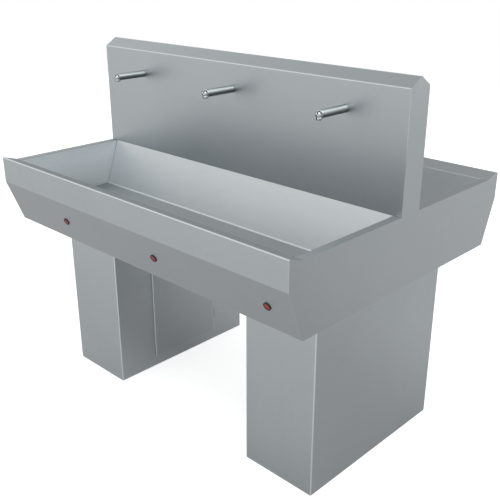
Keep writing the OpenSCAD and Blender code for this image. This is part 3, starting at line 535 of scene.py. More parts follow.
class Nodes:
    """Adds nodes to a tree, setting or linking their inputs by name."""

    def __init__(self, tree: bpy.types.NodeTree) -> None:
        """Starts from an empty tree."""
        tree.nodes.clear()
        self.tree = tree

    def add(self, kind: str, inputs: Inputs | None = None, **settings: str) -> bpy.types.Node:
        """Adds one node.

        Args:
            kind: Blender's name of the node.
            inputs: A value or another node's output for each input.
            **settings: Properties of the node itself.

        Returns:
            The node.
        """
        node = self.tree.nodes.new(kind)
        for name, value in settings.items():
            setattr(node, name, value)
        for name, value in (inputs or {}).items():
            if isinstance(value, Socket):
                self.tree.links.new(value, node.inputs[name])
            else:
                node.inputs[name].default_value = value
        return node

    def place(self) -> Socket:
        """Object coordinates."""
        return self.add("ShaderNodeTexCoord").outputs["Object"]

    def normal(self) -> Socket:
        """The surface's normal."""
        return self.add("ShaderNodeNewGeometry").outputs["Normal"]

    def part(self, vector: Socket, axis: str) -> Socket:
        """One coordinate of a vector."""
        return self.add("ShaderNodeSeparateXYZ", {0: vector}).outputs[axis]

    def noise(self, size: float | Point, detail: float = 3.0, offset: float = 0.0) -> Socket:
        """Noise on object coordinates.

        Args:
            size: Length of its features in millimetres, the same or one for each axis.
            detail: How many finer layers it has.
            offset: Shift that sets it apart from other noises.

        Returns:
            The noise, mostly between 0.3 and 0.7, where spread starts and ends.
        """
        lengths = size if isinstance(size, tuple) else (size,) * 3
        scale = tuple(1 / (MM * length) for length in lengths)
        inputs = {"Vector": self.place(), "Scale": scale, "Location": (offset,) * 3}
        spot = self.add("ShaderNodeMapping", inputs).outputs[0]
        made = self.add("ShaderNodeTexNoise", {"Vector": spot, "Scale": 1.0, "Detail": detail})
        return made.outputs["Fac"]

    def spread(self, value: Socket, low: float, high: float, start: float = 0.3, end: float = 0.7) -> Socket:
        """Carries start..end to low..high, and keeps what is outside at low or high."""
        inputs = {"Value": value, "From Min": start, "From Max": end, "To Min": low, "To Max": high}
        return self.add("ShaderNodeMapRange", inputs).outputs["Result"]

    def blend(self, share: Socket, first: object, second: object) -> Socket:
        """Mixes two colours, from the first at share 0 to the second at 1."""
        return self.add("ShaderNodeMix", {0: share, 6: first, 7: second}, data_type="RGBA").outputs[2]

    def both(self, operation: str, first: object, second: object) -> Socket:
        """Joins two values by one step of arithmetic."""
        return self.add("ShaderNodeMath", {0: first, 1: second}, operation=operation).outputs[0]

    def size(self, value: Socket) -> Socket:
        """A value without its sign."""
        return self.add("ShaderNodeMath", {0: value}, operation="ABSOLUTE").outputs[0]

    def bump(self, height: Socket, strength: float, depth: float, under: Socket | None = None) -> Socket:
        """Tilts the normal by a relief.

        Args:
            height: The relief.
            strength: Its strength, up to 1.
            depth: Its depth in millimetres.
            under: The normal that it starts from, or the surface's own.

        Returns:
            The tilted normal.
        """
        inputs = {"Height": height, "Strength": strength, "Distance": depth * MM}
        if under is not None:
            inputs["Normal"] = under
        return self.add("ShaderNodeBump", inputs).outputs[0]

    def across(self, way: Point) -> Socket:
        """Direction in the surface that is square to the grain: the cross product of normal and grain."""
        inputs = {0: self.normal(), 1: way}
        return self.add("ShaderNodeVectorMath", inputs, operation="CROSS_PRODUCT").outputs[0]

    def along(self, vector: Socket, way: Point) -> Socket:
        """How far a vector goes one way: their dot product."""
        return self.add("ShaderNodeVectorMath", {0: vector, 1: way}, operation="DOT_PRODUCT").outputs["Value"]

    def finish(self, inputs: Inputs) -> None:
        """Ends the tree in one Principled shader with the inputs given."""
        shader = self.add("ShaderNodeBsdfPrincipled", inputs)
        self.add("ShaderNodeOutputMaterial", {"Surface": shader.outputs[0]})


@dataclass(frozen=True)
class Finish:
    """A finish: its material, and the name of a slot, which nothing here reads."""

    name: str
    slot: str = ""

    def material(self) -> bpy.types.Material:
        """Makes the material when it is first asked for.

        Returns:
            The finish's one material.
        """
        found = bpy.data.materials.get(self.name)
        if found is None:
            found = bpy.data.materials.new(self.name)
            found.use_nodes = True
            self.paint(Nodes(found.node_tree))
        return found

    def paint(self, nodes: Nodes) -> None:
        """Builds the node tree."""
        raise NotImplementedError


@dataclass(frozen=True)
class BrushedSteel(Finish):
    """Stainless sheet: fine grain one way, clouds, water marks, painted highlights on folds and edges, and
    painted shade in corners and along rims.
    """

    grain: Grain = Grain.ALONG_X
    level: float = 0.5
    roughness: float = 0.3
    warm: float = 0.0
    marks: float = 0.035
    # Shares of the grey for the painted shade and for the painted highlight (bright).
    painted_shade_share: float = 0.55
    bright: float = 1.6
    streak_stretch: float = 1.8
    streak_width: float = 4.0
    cloud_size: float = 300.0
    drop_size: float = 24.0
    wave_size: float = 330.0

    def tint(self, share: float, warmer: float = 0.0) -> tuple[float, ...]:
        """A share of the sheet's grey, a little cool, or warmer as warm grows."""
        level, warm = min(1.0, self.level * share), self.warm + warmer
        return rgba((level * (0.925 + warm), level * (0.99 + warm / 2), level * 1.03))

    def paint(self, nodes: Nodes) -> None:
        """Grain drives bump and roughness, drops smear it, and a slow wave bends the reflections.

        Args:
            nodes: The material's tree.
        """
        long = tuple(v * self.streak_stretch if v > 1 else self.streak_width for v in self.grain.value)
        hair = nodes.noise(self.grain.value, 2.0)
        streak = nodes.noise(long, 2.0, 7.0)
        drops = nodes.noise(self.drop_size, 4.0, 11.0)
        rough = nodes.spread(streak, self.roughness * 0.96, self.roughness * 1.05)
        wave = nodes.noise(self.wave_size, 1.0, 5.0)
        nodes.finish(
            {
                "Base Color": self.colour(nodes, hair, streak, drops),
                "Metallic": 1.0,
                "Roughness": nodes.both("ADD", rough, nodes.spread(drops, 0.0, 0.025, 0.55, 0.72)),
                "Anisotropic": 0.3,
                "Tangent": nodes.across(tuple(1.0 if v > 1 else 0.02 for v in self.grain.value)),
                "Normal": nodes.bump(wave, 0.2, 1.0, nodes.bump(hair, 0.06, 0.03)),
            }
        )

    def colour(self, nodes: Nodes, hair: Socket, streak: Socket, drops: Socket) -> Socket:
        """Lays grain, streaks, clouds and dried drops over each other, then the painted shade and painted
        highlight.

        Args:
            nodes: The tree.
            hair: Noise of the fine grain.
            streak: Noise of the long streaks.
            drops: Noise of the dried drops.

        Returns:
            The sheet's colour.
        """
        cloud = nodes.noise(self.cloud_size, 2.0, 3.0)
        fine = nodes.blend(nodes.spread(hair, 0, 1), self.tint(0.975), self.tint(1.02))
        base = nodes.blend(nodes.spread(streak, 0, 0.5), fine, self.tint(0.985, 0.01))
        cloudy = nodes.blend(nodes.spread(cloud, 0, 1), base, self.tint(1 - self.marks, 0.006))
        marked = nodes.blend(nodes.spread(drops, 0.0, 0.22, 0.6, 0.72), cloudy, self.tint(0.9, 0.02))
        # Painted light from the mesh attribute: below 0 it mixes in painted shade, above 0 a painted
        # highlight.
        painted_lighting = nodes.add("ShaderNodeAttribute", attribute_name="wear").outputs["Fac"]
        film = self.film(nodes, nodes.spread(painted_lighting, 1.0, 0.0, -1.0, 0.0))
        with_painted_shade = nodes.blend(film, marked, self.tint(self.painted_shade_share))
        return nodes.blend(nodes.spread(painted_lighting, 0.0, 0.8, 0.0, 1.0), with_painted_shade, self.tint(self.bright))

    def film(self, nodes: Nodes, share: Socket) -> Socket:
        """The share of the painted shade colour, which is the mesh attribute's alone here."""
        return share


@dataclass(frozen=True)
class BasinSteel(BrushedSteel):
    """Basin sheet, with painted shade where the floor meets the ends."""

    # Where and how strongly the painted shade lies at both ends of the basin's floor.
    end: float = 672.0
    reach: float = 105.0
    floor: float = 708.0
    pool: float = 0.48
    pool_end: float = 0.92
    fade: float = 60.0
    corner_shade_height: Pair = (1.0, 7.0)
    broken: float = 0.012

    def film(self, nodes: Nodes, share: Socket) -> Socket:
        """Paints shade: the share of |x| towards the end times that of the height down to the floor.

        Args:
            nodes: The tree.
            share: The worn attribute's share.

        Returns:
            The greater of both shares of painted shade, with broken edges.
        """
        place = nodes.add("ShaderNodeSeparateXYZ", {0: nodes.place()})
        broken = nodes.spread(nodes.noise(45.0, 3.0, 17.0), -self.broken, self.broken)
        aside = nodes.both("ADD", nodes.size(place.outputs["X"]), broken)
        start = (self.end - self.reach) * MM
        ends = nodes.spread(aside, self.pool, self.pool_end, start, start + self.fade * MM)
        first, last = ((self.floor + rise) * MM for rise in self.corner_shade_height)
        low = nodes.spread(place.outputs["Z"], 1.0, 0.0, first, last)
        return nodes.both("MAXIMUM", share, nodes.both("MULTIPLY", ends, low))


@dataclass(frozen=True)
class PlainMetal(Finish):
    """Turned, cast, plated or galvanised metal with fine grit, slow darker stains and small dents."""

    colour: Point = (0.55, 0.56, 0.58)
    roughness: float = 0.2
    grit: float = 0.6
    depth: float = 0.02
    stain: float = 0.25

    def paint(self, nodes: Nodes) -> None:
        """Grit drives the bump, and slow stains the colour and roughness.

        Args:
            nodes: The material's tree.
        """
        grit = nodes.noise(self.grit, 3.0)
        stain = nodes.noise(14.0, 4.0, 5.0)
        share = nodes.spread(stain, 0, 1, 0.42, 0.7)
        nodes.finish(
            {
                "Base Color": nodes.blend(share, rgba(self.colour), rgba(self.colour, 1 - self.stain)),
                "Metallic": 1.0,
                "Roughness": nodes.spread(stain, self.roughness * 0.8, self.roughness * 1.3),
                "Normal": nodes.bump(grit, 0.4, self.depth),
            }
        )


@dataclass(frozen=True)
class TurnedTube(Finish):
    """Plated tube that was turned: its fine rings stretch the highlights along the Y axis."""

    colour: Point = (0.66, 0.72, 0.73)
    roughness: float = 0.24
    # above and below are the colour's shares in the painted shade on the top and the underside; upper and
    # lower are the normal's heights where each begins.
    above: float = 0.42
    below: float = 0.28
    upper: Pair = (0.84, 0.95)
    lower: Pair = (-0.12, 0.55)

    def paint(self, nodes: Nodes) -> None:
        """Rings drive the bump, slow films colour and roughness; painted shade darkens the top and the
        underside by the normal's height.

        Args:
            nodes: The material's tree.
        """
        rings = nodes.noise((300.0, 0.35, 300.0), 2.0)
        film = nodes.noise((16.0, 34.0, 16.0), 3.0, 5.0)
        rise = nodes.part(nodes.normal(), "Z")
        unshaded = nodes.blend(nodes.spread(film, 0, 1), rgba(self.colour), rgba(self.colour, 0.93))
        # Painted shade: the top and the underside darker by the normal's height.
        shaded_top = nodes.blend(nodes.spread(rise, 0.0, 1.0, *self.upper), unshaded, rgba(self.colour, self.above))
        shaded_top_and_underside = nodes.blend(nodes.spread(rise, 1.0, 0.0, *self.lower), shaded_top, rgba(self.colour, self.below))
        nodes.finish(
            {
                "Base Color": shaded_top_and_underside,
                "Metallic": 1.0,
                "Roughness": nodes.spread(film, self.roughness * 0.95, self.roughness * 1.05),
                "Anisotropic": 0.95,
                "Tangent": nodes.add("ShaderNodeCombineXYZ", {1: 1.0}).outputs[0],
                "Normal": nodes.bump(rings, 0.08, 0.02),
            }
        )


@dataclass(frozen=True)
class PlatedTip(Finish):
    """Polished plating with a painted reflection of dark gaps between lamps, alike towards all four corners.
    """

    colour: Point = (0.62, 0.66, 0.67)
    roughness: float = 0.07
    # gap is the colour's share in the painted dark reflection; corner is the direction that its ring
    # surrounds.
    gap: float = 0.05
    corner: Point = (0.662, 0.623, 0.415)
    ring_outside: Pair = (0.79, 0.86)
    ring_inside: Pair = (0.93, 0.965)
    ring_height: Pair = (0.1, 0.3)
    stripe_side: Pair = (0.96, 0.985)
    stripe_height: Pair = (0.1, 0.2)

    def painted_reflection(self, nodes: Nodes) -> Socket:
        """Paints the reflection of the gaps: a dark ring about each corner's direction above, and an upright
        stripe below.

        Args:
            nodes: The tree.

        Returns:
            The share of the painted dark reflection.
        """
        normal = nodes.normal()
        folded = nodes.add("ShaderNodeVectorMath", {0: normal}, operation="ABSOLUTE").outputs[0]
        near, rise = nodes.along(folded, self.corner), nodes.part(normal, "Z")
        outside = nodes.spread(near, 0.0, 1.0, *self.ring_outside)
        ring = nodes.both("MULTIPLY", outside, nodes.spread(near, 1.0, 0.0, *self.ring_inside))
        upper = nodes.both("MULTIPLY", ring, nodes.spread(rise, 0.0, 1.0, *self.ring_height))
        square = nodes.spread(nodes.part(folded, "Y"), 0.0, 1.0, *self.stripe_side)
        stripe = nodes.both("MULTIPLY", square, nodes.spread(rise, 1.0, 0.0, *self.stripe_height))
        return nodes.both("MAXIMUM", upper, stripe)

    def paint(self, nodes: Nodes) -> None:
        """A painted reflection of dark gaps darkens the plating, a film its colour and roughness, and pits
        drive the bump.

        Args:
            nodes: The material's tree.
        """
        film = nodes.noise(14.0, 4.0, 5.0)
        share = nodes.spread(film, 0, 1, 0.42, 0.7)
        unshaded = nodes.blend(share, rgba(self.colour), rgba(self.colour, 0.94))
        nodes.finish(
            {
                "Base Color": nodes.blend(self.painted_reflection(nodes), unshaded, rgba(self.colour, self.gap)),
                "Metallic": 1.0,
                "Roughness": nodes.spread(film, self.roughness * 0.8, self.roughness * 1.3),
                "Normal": nodes.bump(nodes.noise(3.0, 3.0), 0.4, 0.01),
            }
        )


@dataclass(frozen=True)
class Moulded(Finish):
    """Moulded plastic or rubber with a fine spark grain and slight marks."""

    colour: Point = (0.05, 0.05, 0.055)
    roughness: float = 0.45
    grain: float = 0.5
    coat: float = 0.0
    depth: float = 0.03

    def paint(self, nodes: Nodes) -> None:
        """Spark grain drives the bump, and slow marks change colour and roughness a little.

        Args:
            nodes: The material's tree.
        """
        spark = nodes.noise(self.grain, 2.0)
        mark = nodes.noise(22.0, 4.0, 3.0)
        nodes.finish(
            {
                "Base Color": nodes.blend(
                    nodes.spread(mark, 0, 1), rgba(self.colour, 1.12), rgba(self.colour, 0.86)
                ),
                "Roughness": nodes.spread(mark, self.roughness * 0.85, self.roughness * 1.2),
                "Coat Weight": self.coat,
                "Coat Roughness": 0.08,
                "Normal": nodes.bump(spark, 0.5, self.depth),
            }
        )


class Finishes:
    """The finishes of the trough. Those of new pieces carry the name of a slot."""

    # Each steel's level is set piece by piece to how bright that piece looks, so these are lighter and darker
    # copies of one steel: painted light.
    basin = BasinSteel("basin_steel", "steel_basin", Grain.ALONG_X, 0.67, 0.48, 0.035)
    basin_end = BrushedSteel("basin_end_steel", "steel_basin", Grain.ALONG_Y, 0.93, 0.6, 0.02)
    casing = BrushedSteel("casing_steel", "steel_casing", Grain.ALONG_X, 0.485, 0.4)
    casing_end = BrushedSteel("casing_end_steel", "steel_casing", Grain.ALONG_Y, 0.535, 0.42)
    upstand = BrushedSteel("upstand_steel", "steel_upstand", Grain.ALONG_X, 0.465, 0.36)
    pedestal = BrushedSteel("pedestal_steel", "steel_pedestal", Grain.ALONG_Z, 0.6, 0.42)
    door = BrushedSteel("door_steel", "steel_door", Grain.ALONG_Z, 0.56, 0.42)
    fastener = PlainMetal("fastener_steel", "steel_fastener", (0.56, 0.56, 0.55), 0.3, 0.4, stain=0.3)
    lock = PlainMetal("lock_chrome", "chrome_lock", (0.52, 0.55, 0.57), 0.4, stain=0.08)
    waste = PlainMetal("polished_steel", "waste_steel", (0.76, 0.77, 0.78), 0.16, 0.5, 0.015, 0.18)
    tube = TurnedTube("spout_tube_chrome", "chrome_spout", (0.8, 0.87, 0.88), 0.4)
    chrome = PlatedTip("spout_tip_chrome", "chrome_spout")
    aerator = Moulded("aerator_plastic", "aerator", (0.12, 0.125, 0.13), 0.35, 0.4)
    housing = Moulded("sensor_plastic", "sensor_housing", (0.008, 0.007, 0.008), 0.5, 0.3)
    lens = Moulded("lens_plastic", "sensor_lens", (0.31, 0.016, 0.01), 0.4, 2.0, 0.06, 0.005)
    frame = PlainMetal("frame_steel", "", (0.4, 0.41, 0.42), 0.38, 1.2, 0.03, 0.3)
    pipe = PlainMetal("pipe_steel", "", (0.5, 0.5, 0.51), 0.25, 0.5, stain=0.2)
    brass = PlainMetal("valve_brass", "", (0.66, 0.44, 0.2), 0.3, 0.7, 0.05, 0.3)
    rubber = Moulded("seal_rubber", "", (0.02, 0.02, 0.021), 0.65, 0.3, depth=0.05)
    solenoid = Moulded("solenoid_plastic", "", (0.03, 0.05, 0.09), 0.4)
    knob = Moulded("handle_plastic", "", (0.09, 0.09, 0.095), 0.4)
    hot = Moulded("hot_lever_coat", "", (0.42, 0.02, 0.018), 0.35, 0.6, 0.3)
    cold = Moulded("cold_lever_coat", "", (0.02, 0.09, 0.36), 0.35, 0.6, 0.3)
    box = Moulded("control_box_plastic", "", (0.42, 0.43, 0.43), 0.5, 0.8, depth=0.05)
    drain = Moulded("drain_plastic", "", (0.72, 0.72, 0.7), 0.4, 0.7)


# Pieces


@dataclass(frozen=True)
class Plan:
    """Places and sheet sizes that several sub-assemblies share."""

    half_length: float = 700.0
    half_depth: float = 540.0
    sheet: float = 1.5
    bend: float = 2.5
    lip_z: float = 893.0
    fold_z: float = 800.0
    base_z: float = 642.0
    base_y: float = 481.0
    rim_y: float = 485.0
    rim_z: float = 876.0
    basin_x: float = 672.0
    waste_y: float = 240.0
    upstand_y: float = 47.0
    ridge_z: float = 1278.0
    eave_z: float = 1249.0
    rail_y: float = 291.0
    pedestal_x: float = 486.0
    tap_x: Point = (-476.0, 0.0, 476.0)
    tap_z: float = 1164.0
    sensor_shift: float = 124.0

    @property
    def casing_x(self) -> float:
        """Inner face of the end panels."""
        return self.half_length - self.sheet

    @property
    def cover_y(self) -> float:
        """Inner face of the upstand's cover."""
        return self.upstand_y - self.sheet

    @property
    def sensor_spot(self) -> Pair:
        """Middle of the apron's lower face, as (y, z), where the sensors sit."""
        return (self.half_depth + self.base_y) / 2, (self.fold_z + self.base_z) / 2

    def sensor_x(self, side: Side, place: int) -> float:
        """Where a sensor sits on a side that is drawn facing +Y."""
        return side.value * self.tap_x[place] - self.sensor_shift

    def gable(self) -> tuple[Array, Array]:
        """Folds the upstand's outline over its ridge.

        Returns:
            The points of (y, z), and 1 for each point on a fold or 0 elsewhere.
        """
        y, radii = self.upstand_y, [0, self.bend, self.bend, self.bend, 0]
        corners = [(-y, self.rim_z), (-y, self.eave_z), (0, self.ridge_z), (y, self.eave_z), (y, self.rim_z)]
        return fold_line(corners, radii)


def put(item: bpy.types.Object) -> None:
    """Links an object to the scene."""
    bpy.context.scene.collection.objects.link(item)


def stations() -> Iterator[tuple[Side, int, str]]:
    """Goes through the six places of taps and sensors.

    Returns:
        The side, the number along the trough and the name, such as rear_left, of each.
    """
    for side in Side:
        for place, word in enumerate(("left", "middle", "right")):
            yield side, place, f"{side.word}_{word}"


@dataclass
class Maker:
    """A sub-assembly: makes objects from shells, rides them on their bodies and reports them."""

    plan: Plan

    def build(self) -> None:
        """Builds every piece of the sub-assembly."""
        raise NotImplementedError

    def piece(
        self, name: str, shell: Shell, finish: Finish, body: str = "trough", replaces: bool = True
    ) -> None:
        """Makes one finished piece.

        Args:
            name: Name of the object.
            shell: Its surfaces, in millimetres.
            finish: What it is made of.
            body: The body that it rides on.
            replaces: Whether it stands for the CAD node of its own name.
        """
        made = bpy.data.objects.new(name, shell.mesh(name))
        put(made)
        made.data.materials.append(finish.material())
        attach(made, body)
        if replaces:
            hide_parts(name)
        LOG.info("%s: %d points on %s", name, len(made.data.vertices), body)


@dataclass
class Trough(Maker):
    """Both basins with their end walls, the two aprons and the two end panels."""

    floor_z: float = 708.0
    valley_z: float = 702.0
    rear_y: float = 106.0
    front_y: float = 429.0
    basin_bend: float = 6.0
    seat_bend: float = 1.0
    seat_flange: float = 24.0
    lap_flange: float = 20.0
    sump_radius: float = 50.0
    sump_bend: float = 2.5
    sump_share: float = 0.16
    sump_z: float = 694.0
    sump_land: float = 9.0
    sump_spread: Pair = (0.4, 0.8)
    sump_divisions: int = 12
    basin_land: float = 3.0
    waste_hole: float = 24.2
    sensor_hole: float = 10.2
    sensor_land: float = 14.0
    return_x: float = 610.0
    # Painted light: a painted highlight on the basin's folds, painted shade at the end walls' feet, on the
    # sloping rim and on the end rims, and a faint highlight on the apron's lower folds.
    basin_wear: float = 0.6
    foot_painted_shade: float = -0.55
    rim_painted_light: float = -0.5
    rim_fade: float = 0.5
    end_rim_painted_shade: Pair = (-0.05, -0.9)
    low_fold_highlight: float = 0.12

    def rim_way(self) -> Array:
        """Direction of the sloping rim, from the basin up to the lip."""
        way = np.array([self.plan.half_depth - self.plan.rim_y, self.plan.lip_z - self.plan.rim_z])
        return way / np.linalg.norm(way)

    def wall_corner(self) -> Array:
        """Meets the basin's front wall and the underside of the sloping rim: p + u (q-p)xv / uxv.

        Returns:
            The corner as (y, z).
        """
        p, v = self.plan, self.rim_way()
        q = np.array([p.rim_y, p.rim_z]) - p.sheet * np.array([-v[1], v[0]])
        start = np.array([self.front_y, self.floor_z])
        u = np.array([p.rim_y - self.front_y, p.rim_z - self.floor_z])
        return start + u * (np.cross(q - start, v) / np.cross(u, v))

    def floor_points(self) -> list[Pair]:
        """Corners of the basin's floor with its valley, from the rear wall to the front wall."""
        return [(self.rear_y, self.floor_z), (self.plan.waste_y, self.valley_z), (self.front_y, self.floor_z)]

    def basin_line(self) -> tuple[Array, Array]:
        """Folds the basin from the flange behind the cover to the lap under the rim.

        Returns:
            The points of (y, z), and 1 for each point on a fold or 0 elsewhere.
        """
        p, corner = self.plan, self.wall_corner()
        seat = [(p.cover_y, p.rim_z + self.seat_flange), (p.cover_y, p.rim_z)]
        lap = [tuple(corner), tuple(corner + self.lap_flange * self.rim_way())]
        radii = [0, self.seat_bend, self.basin_bend, 0, self.basin_bend, p.bend, 0]
        return fold_line([*seat, *self.floor_points(), *lap], radii)

    def sump_dish(self) -> Array:
        """Presses the sump's wall from two quarter bends.

        The rim bends down at radius R + b - b sin t and share s (1 - cos t), and the foot turns
        level at radius R - b (1 - cos t) and share 1 - s + s sin t.

        Returns:
            Radius, share of the depth and spread behind, for each ring of the dish.
        """
        turn = np.linspace(0, QUARTER, 5)
        sin, cos = np.sin(turn), np.cos(turn)
        radius, bend, share = self.sump_radius, self.sump_bend, self.sump_share
        upper, lower = (np.full_like(turn, spread) for spread in self.sump_spread)
        rim = np.stack([radius + bend - bend * sin, share * (1 - cos), upper], -1)
        foot = np.stack([radius - bend * (1 - cos), 1 - share + share * sin, lower], -1)
        return np.vstack([rim, foot])

    def build_basin(self, side: Side) -> None:
        """Folds one basin, with its pressed sump and the waste's hole.

        Args:
            side: The users' side.
        """
        p, (line, wear) = self.plan, self.basin_line()
        span, half = (-p.basin_x, p.basin_x), self.sump_radius + self.sump_land
        # The basin's folds get a painted highlight, and its ends painted shade where the end walls meet it.
        settings = {"level": self.sump_z, "ends": -1.0, "land": self.basin_land}
        basin = Sheet(line, wear * self.basin_wear, span, p.sheet, **settings)
        along, across = -side.value * p.pedestal_x, basin.where((p.waste_y, self.valley_z))
        dish = {"dish": self.sump_dish(), "divisions": self.sump_divisions}
        basin.cuts.append(Hole(along, across, half, half, self.waste_hole, **dish))
        self.piece(f"basin_{side.word}", basin.shell().move(side.matrix), Finishes.basin)

    def end_outline(self) -> Array:
        """Follows the basin's underside between the points where it reaches the level rim.

        Returns:
            The points of (y, z).
        """
        p = self.plan
        corners = [(p.cover_y, p.rim_z), *self.floor_points(), (p.rim_y, p.rim_z)]
        line, wear = fold_line(corners, [0, self.basin_bend, 0, self.basin_bend, 0])
        guide = Sheet(line, wear, (0, 1), p.sheet)
        low = guide.at(0.0, guide.place, -p.sheet)[:, 1:]
        first, last = (cross_level(pair, p.rim_z - p.sheet) for pair in (low[:2], low[-2:]))
        low = np.vstack([first, low[1:-1], last])
        low[:, 0] = np.clip(low[:, 0], p.upstand_y, p.rim_y)
        return low

    def end_face(self, outline: Array, x: float) -> Array:
        """Rules one face of an end wall between the outline and the level rim.

        Args:
            outline: Its lower edge as (y, z).
            x: Its place along the trough.

        Returns:
            Three rows of points, at the bottom, at three quarters and at the top.
        """
        lower = np.insert(outline, 0, x, axis=1)
        upper = lower.copy()
        upper[:, 2] = self.plan.rim_z - self.plan.sheet
        return np.stack([lower, (lower + 3 * upper) / 4, upper])

    def build_ends(self) -> None:
        """Ruled plates between the basin's underside and the level rim, at both ends of both basins."""
        p, made, outline = self.plan, Shell(), self.end_outline()
        # Painted shade along the foot of each end wall.
        wear = np.array([self.foot_painted_shade, 0.0, 0.0])[:, None]
        for side in Side:
            for x in (-p.basin_x - p.sheet, p.basin_x):
                part = Shell()
                part.slab(self.end_face(outline, x), self.end_face(outline, x + p.sheet), wear)
                made.join(part.move(side.matrix))
        self.piece("basin_ends", made, Finishes.basin_end)

    def build_apron(self, side: Side) -> None:
        """Folds one apron: sloping rim, lip, upright face, lower face with sensor holes, and return.

        Args:
            side: The users' side.
        """
        p = self.plan
        corners = [
            (p.rim_y, p.rim_z),
            (p.half_depth, p.lip_z),
            (p.half_depth, p.fold_z),
            (p.base_y, p.base_z),
            (p.rail_y, p.base_z),
        ]
        line, wear = fold_line(corners, [0, p.bend, p.bend, p.bend, 0])
        # Only the lip gets the full painted highlight; the folds below the upright face get a faint one.
        wear = wear * np.where(line[:, 1] > p.fold_z + 3 * p.bend, 1.0, self.low_fold_highlight)
        line = np.insert(line, 1, line[0] + self.rim_way(), axis=0)
        # The sloping rim gets painted shade.
        wear = np.r_[0.0, self.rim_painted_light, self.rim_painted_light, wear[2:]]
        apron = Sheet(line, wear, (-p.casing_x, p.casing_x), p.sheet)
        across, land = apron.where(p.sensor_spot), self.sensor_land
        apron.cuts += [Hole(p.sensor_x(side, n), across, land, land, self.sensor_hole) for n in range(3)]
        self.piece(f"apron_{side.word}", apron.shell().move(side.matrix), Finishes.casing)

    def build_end_panel(self, end: End) -> None:
        """Cuts one end panel: gabled plate, level rims folded from it, and a return under the trough.

        Args:
            end: The end of the trough.
        """
        p, made = self.plan, Shell()
        inner, top_z = p.casing_x, p.rim_z
        gable, _ = p.gable()
        self.plate(made, gable, np.stack([gable[:, 0], np.full(len(gable), p.base_z)], -1))
        edge = (p.half_depth, (p.fold_z + p.lip_z) / 2)
        below = [(p.upstand_y, p.base_z), (p.base_y, p.base_z), (p.half_depth, p.fold_z), edge]
        above = [(p.upstand_y, top_z), (p.rim_y, top_z), (p.half_depth, p.lip_z), edge]
        low, _ = fold_line(below, [0, p.bend, p.bend, 0])
        top, _ = fold_line(above, [0, 0, p.bend, 0])
        share = np.unique(np.r_[spaced(low), spaced(top)])
        low, top = at_shares(low, share), at_shares(top, share)
        # Each level end rim gets painted shade, which fades out at the end panel.
        for sign, painted_lighting in zip((-1, 1), self.end_rim_painted_shade):
            flip = np.array([sign, 1.0])
            self.plate(made, top * flip, low * flip)
            rows = (sign * p.upstand_y, sign * p.rim_y)
            columns = (p.basin_x, inner - self.rim_fade, inner)
            faces = (level_grid(columns, rows, z) for z in (top_z, top_z - p.sheet))
            made.slab(*faces, np.array([[painted_lighting], [painted_lighting], [0.0]]))
        made.block((self.return_x, -p.rail_y, p.base_z), (inner, p.rail_y, p.base_z + p.sheet))
        self.piece(f"end_panel_{end.word}", made.move(end.matrix), Finishes.casing_end)

    def plate(self, made: Shell, upper: Array, lower: Array) -> None:
        """Adds the end panel's upright plate, ruled between two lines of (y, z)."""
        xs = (self.plan.half_length, self.plan.casing_x)
        made.slab(*(np.stack([np.insert(line, 0, x, axis=1) for line in (lower, upper)]) for x in xs))

    def build(self) -> None:
        """Builds every piece of the trough."""
        for side in Side:
            self.build_basin(side)
            self.build_apron(side)
        self.build_ends()
        for end in End:
            self.build_end_panel(end)


@dataclass
class Upstand(Maker):
    """The gabled cover that carries the taps."""

    hole: float = 9.2
    hole_land: float = 13.0

    def build(self) -> None:
        """Folds the cover over its ridge, with a hole for each tap."""
        p, (line, wear), land = self.plan, self.plan.gable(), self.hole_land
        span = (-p.casing_x, p.casing_x)
        # The cover's folds get a painted highlight, and its bottom edges, where it meets the basins, painted
        # shade.
        cover = Sheet(line, wear, span, p.sheet, edges=(-1.0, -1.0), ends=0.0, land=2.0)
        for y in (-p.upstand_y, p.upstand_y):
            across = cover.where((y, p.tap_z))
            cover.cuts += [Hole(x, across, land, land, self.hole) for x in p.tap_x]
        self.piece("upstand_cover", cover.shell(), Finishes.upstand)


